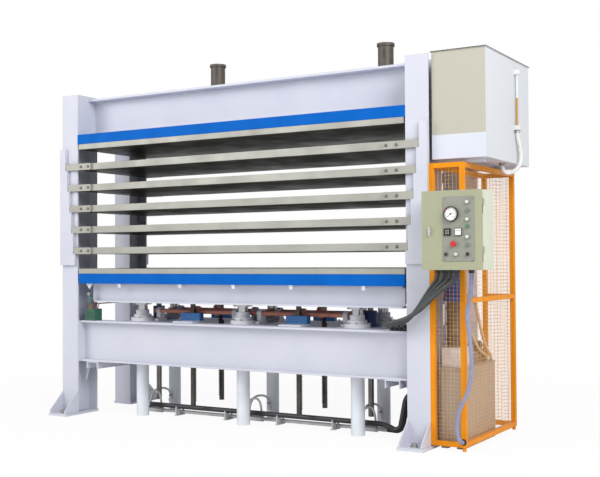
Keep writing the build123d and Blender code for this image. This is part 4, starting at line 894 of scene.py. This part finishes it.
# Panel meters: two square plastic instruments, a dark one with pale digits and a white one.
# Each window is let into its bezel.
meter_left_x = 1.94607
meter_right_x = 2.02303
meter_z = 1.48207
window_y = -0.7089
window_size = (0.042, 0.0018, 0.042)
window_lip = 0.003
window_sink = 0.0008
meter_print_y = -0.7093
digit_size = (0.0026, 0.011)
digit_columns = (-0.010, -0.002, 0.006, 0.012)
digit_rows = (-0.008, 0.008)
scale_mark_size = (0.0011, 0.006)
scale_mark_gap = 0.0035
scale_mark_z = 1.490


def meter_window(name, x, material):
    """A window with a raised lip on the front of a meter."""
    clear_selection()
    bpy.ops.mesh.primitive_cube_add(size=1.0)
    window = bpy.context.object
    window.name = name
    window.data.transform(at(x, window_y, meter_z) @ Matrix.Diagonal((*window_size, 1.0)))
    pick_faces(window, lambda center, normal: normal.y < -0.9)
    bpy.ops.mesh.inset(thickness=window_lip)
    bpy.ops.mesh.extrude_region_move(TRANSFORM_OT_translate={"value": (0, window_sink, 0)})
    bpy.ops.object.mode_set(mode="OBJECT")
    window.data.materials.append(material)
    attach(window, "cabinet_door")


meter_black = finish("meter_black", (26, 28, 30), (40, 42, 44), patch_size=40.0, roughness=0.15,
                     dust=0.0, wear=0.0)
meter_window("meter_window_left", meter_left_x, meter_black)
meter_window("meter_window_right", meter_right_x, dial_white)
repeat(mark(*digit_size), "meter_digits",
       [at(meter_left_x + step, meter_print_y, meter_z + rise)
        for step in digit_columns for rise in digit_rows],
       lens_pale, "cabinet_door")
repeat(mark(*scale_mark_size), "meter_scale",
       [at(meter_right_x + scale_mark_gap * step, meter_print_y, scale_mark_z) for step in range(-4, 5)],
       ink_black, "cabinet_door")

# Conduits: four dark ribbed sleeves from glands under the cabinet to the bed.
# They hang one in front of the other and sweep left under their own weight.
conduit_radius = 15
conduit_lengths = (0.602, 0.695, 0.794, 0.898)
cabinet_bottom = 1232
gland_x = 1792.5
gland_gap = 60
lane_y = -500
lane_gap = 34
straight_end = 1171.4
shoulder_x = 1745
shoulder_gap = 35
shoulder_z = 1120
shoulder_drop = 8
knee_x = 1600
knee_gap = 15
knee_z = 905
lying_z = 847.1
bed_hole_x = 1500
bed_hole_y = -402
turn_down_z = 838.8
bed_top = 799
cabinet_gland_radius = 0.019
cage_hose_top = (2062.5, -571.5, cabinet_bottom)
conduit_black = finish("conduit_black", (62, 67, 66), (46, 51, 50), patch_size=20.0, amount=0.6,
                       roughness=0.5, wear=0.0, ripple=0.5, ripple_size=140.0)
gland_places = []
for lane, length in enumerate(conduit_lengths):
    start = gland_x + gland_gap * lane
    end = bed_hole_x - lane_gap * lane
    depth = lane_y - lane_gap * lane
    route = [(start, depth, cabinet_bottom), (start, depth, straight_end),
             (shoulder_x + shoulder_gap * lane, depth, shoulder_z - shoulder_drop * lane),
             (knee_x + knee_gap * lane, depth, knee_z),
             (end, depth, lying_z), (end, bed_hole_y, turn_down_z), (end, bed_hole_y, bed_top)]
    run_hose(f"conduit_{lane + 1}", route, conduit_radius, conduit_black, "conduits")
    gland_places.append(on_route(route[0]) @ down)
gland_places.append(on_route(cage_hose_top) @ down)
repeat(hex_nut(cabinet_gland_radius), "cabinet_glands", gland_places, moulding_black, "frame")

# Unit cable hose: one lavender hose from the cabinet, swaying down the cage to its lowest rail.
# A gland nut holds each end.
cage_hose_radius = 14
cage_nut_radius = 0.0165
cage_hose_route = [cage_hose_top, (2062.5, -571.5, 1127.1), (2019.5, -512, 1010.5), (2000.5, -512, 940.5),
                   (2022.5, -512, 765.6), (2039.5, -512, 596.5), (2009.5, -512, 415.8), (1960.5, -512, 322.5),
                   (1930.5, -512, 252.6), (1922.5, -512, 130.1), (1950.5, -512, 66), (1950.5, -458, 66)]
hose_lavender = finish("hose_lavender", (142, 146, 174), (118, 122, 152), patch_size=24.0, amount=0.6,
                       wear=0.0)
run_hose("cage_hose", cage_hose_route, cage_hose_radius, hose_lavender, "unit_hose")
repeat(hex_nut(cage_nut_radius), "cage_hose_nut", [on_route(cage_hose_route[-1]) @ facing_front],
       moulding_black, "frame")

# Studio floor: one pale sheet that keeps the press's soft shadow.
# To the camera it glows almost to the white of the surround, and wholly so further out.
floor_size = 60.0
floor_z = -0.001
floor_white = (0.92, 0.92, 0.92, 1.0)
pure_white = (1.0, 1.0, 1.0, 1.0)
glow_near = 0.93
glow_rise = 0.07
shadow_end = 2.2
glow_full = 5.0
clear_selection()
bpy.ops.mesh.primitive_plane_add(size=floor_size, location=(0, 0, floor_z))
floor = bpy.context.object
floor.name = "studio_floor"
floor_paper = bpy.data.materials.new("floor_paper")
floor_paper.use_nodes = True
tree = floor_paper.node_tree
tree.nodes.clear()
paper = tree.nodes.new("ShaderNodeBsdfDiffuse")
paper.inputs["Color"].default_value = floor_white
glow = tree.nodes.new("ShaderNodeEmission")
glow.inputs["Color"].default_value = pure_white
rays = tree.nodes.new("ShaderNodeLightPath")
blend = tree.nodes.new("ShaderNodeMixShader")
sheet = tree.nodes.new("ShaderNodeOutputMaterial")
place = tree.nodes.new("ShaderNodeTexCoord")
reach = tree.nodes.new("ShaderNodeVectorMath")
reach.operation = "LENGTH"
tree.links.new(place.outputs["Object"], reach.inputs[0])
far = fade_node(tree, reach.outputs["Value"], shadow_end, glow_full)
white = math_node(tree, "ADD", math_node(tree, "MULTIPLY", far, glow_rise), glow_near)
tree.links.new(math_node(tree, "MULTIPLY", rays.outputs["Is Camera Ray"], white), blend.inputs["Fac"])
tree.links.new(paper.outputs["BSDF"], blend.inputs[1])
tree.links.new(glow.outputs["Emission"], blend.inputs[2])
tree.links.new(blend.outputs["Shader"], sheet.inputs["Surface"])
floor.data.materials.append(floor_paper)

# Studio light: an even white surround, one wide soft box high at the front right and one at the left.
# The camera, mirrors and glass see the surround as plain white.
surround_light = 0.5
surround_seen = 1.0
soft_box_width = 4.0
soft_boxes = (("soft_box_right", (6.5, -4.0, 5.5), (0.6, 0.0, 1.2), 420.0),
              ("soft_box_left", (-4.5, -6.5, 4.5), (0.0, 0.0, 1.2), 260.0))
world = bpy.data.worlds.new("studio")
bpy.context.scene.world = world
world.use_nodes = True
tree = world.node_tree
tree.nodes.clear()
rays = tree.nodes.new("ShaderNodeLightPath")
seen = math_node(tree, "MAXIMUM", rays.outputs["Is Camera Ray"], rays.outputs["Is Glossy Ray"])
seen = math_node(tree, "MAXIMUM", seen, rays.outputs["Is Transmission Ray"])
level = tree.nodes.new("ShaderNodeMapRange")
level.inputs["To Min"].default_value = surround_light
level.inputs["To Max"].default_value = surround_seen
surround = tree.nodes.new("ShaderNodeBackground")
surround.inputs["Color"].default_value = pure_white
output = tree.nodes.new("ShaderNodeOutputWorld")
tree.links.new(seen, level.inputs["Value"])
tree.links.new(level.outputs["Result"], surround.inputs["Strength"])
tree.links.new(surround.outputs["Background"], output.inputs["Surface"])
for name, place, aim, power in soft_boxes:
    lamp_data = bpy.data.lights.new(name, "AREA")
    lamp_data.size = soft_box_width
    lamp_data.energy = power
    lamp = bpy.data.objects.new(name, lamp_data)
    bpy.context.collection.objects.link(lamp)
    lamp.location = place
    lamp.rotation_euler = (Vector(aim) - Vector(place)).to_track_quat("-Z", "Y").to_euler()

# Camera: at the front right, a little under half the press's height and looking slightly up.
# Its place, turn and lens were solved from the press's straight edges in the photograph.
camera_at = (4.471, -6.853, 1.299)
yaw = math.radians(30.70)
pitch = math.radians(1.27)
roll = math.radians(-0.324)
forward = Vector((-math.sin(yaw) * math.cos(pitch), math.cos(yaw) * math.cos(pitch), math.sin(pitch)))
level_right = Vector((math.cos(yaw), math.sin(yaw), 0.0))
level_up = level_right.cross(forward)
right = level_right * math.cos(roll) + level_up * math.sin(roll)
up = right.cross(forward)
camera_data = bpy.data.cameras.new("photo_camera")
camera_data.sensor_width = 36.0
camera_data.lens = 60.03
camera = bpy.data.objects.new("photo_camera", camera_data)
bpy.context.collection.objects.link(camera)
camera.matrix_world = at(*camera_at) @ Matrix((right, up, -forward)).transposed().to_4x4()
bpy.context.scene.camera = camera
bpy.context.scene.view_settings.view_transform = "Standard"
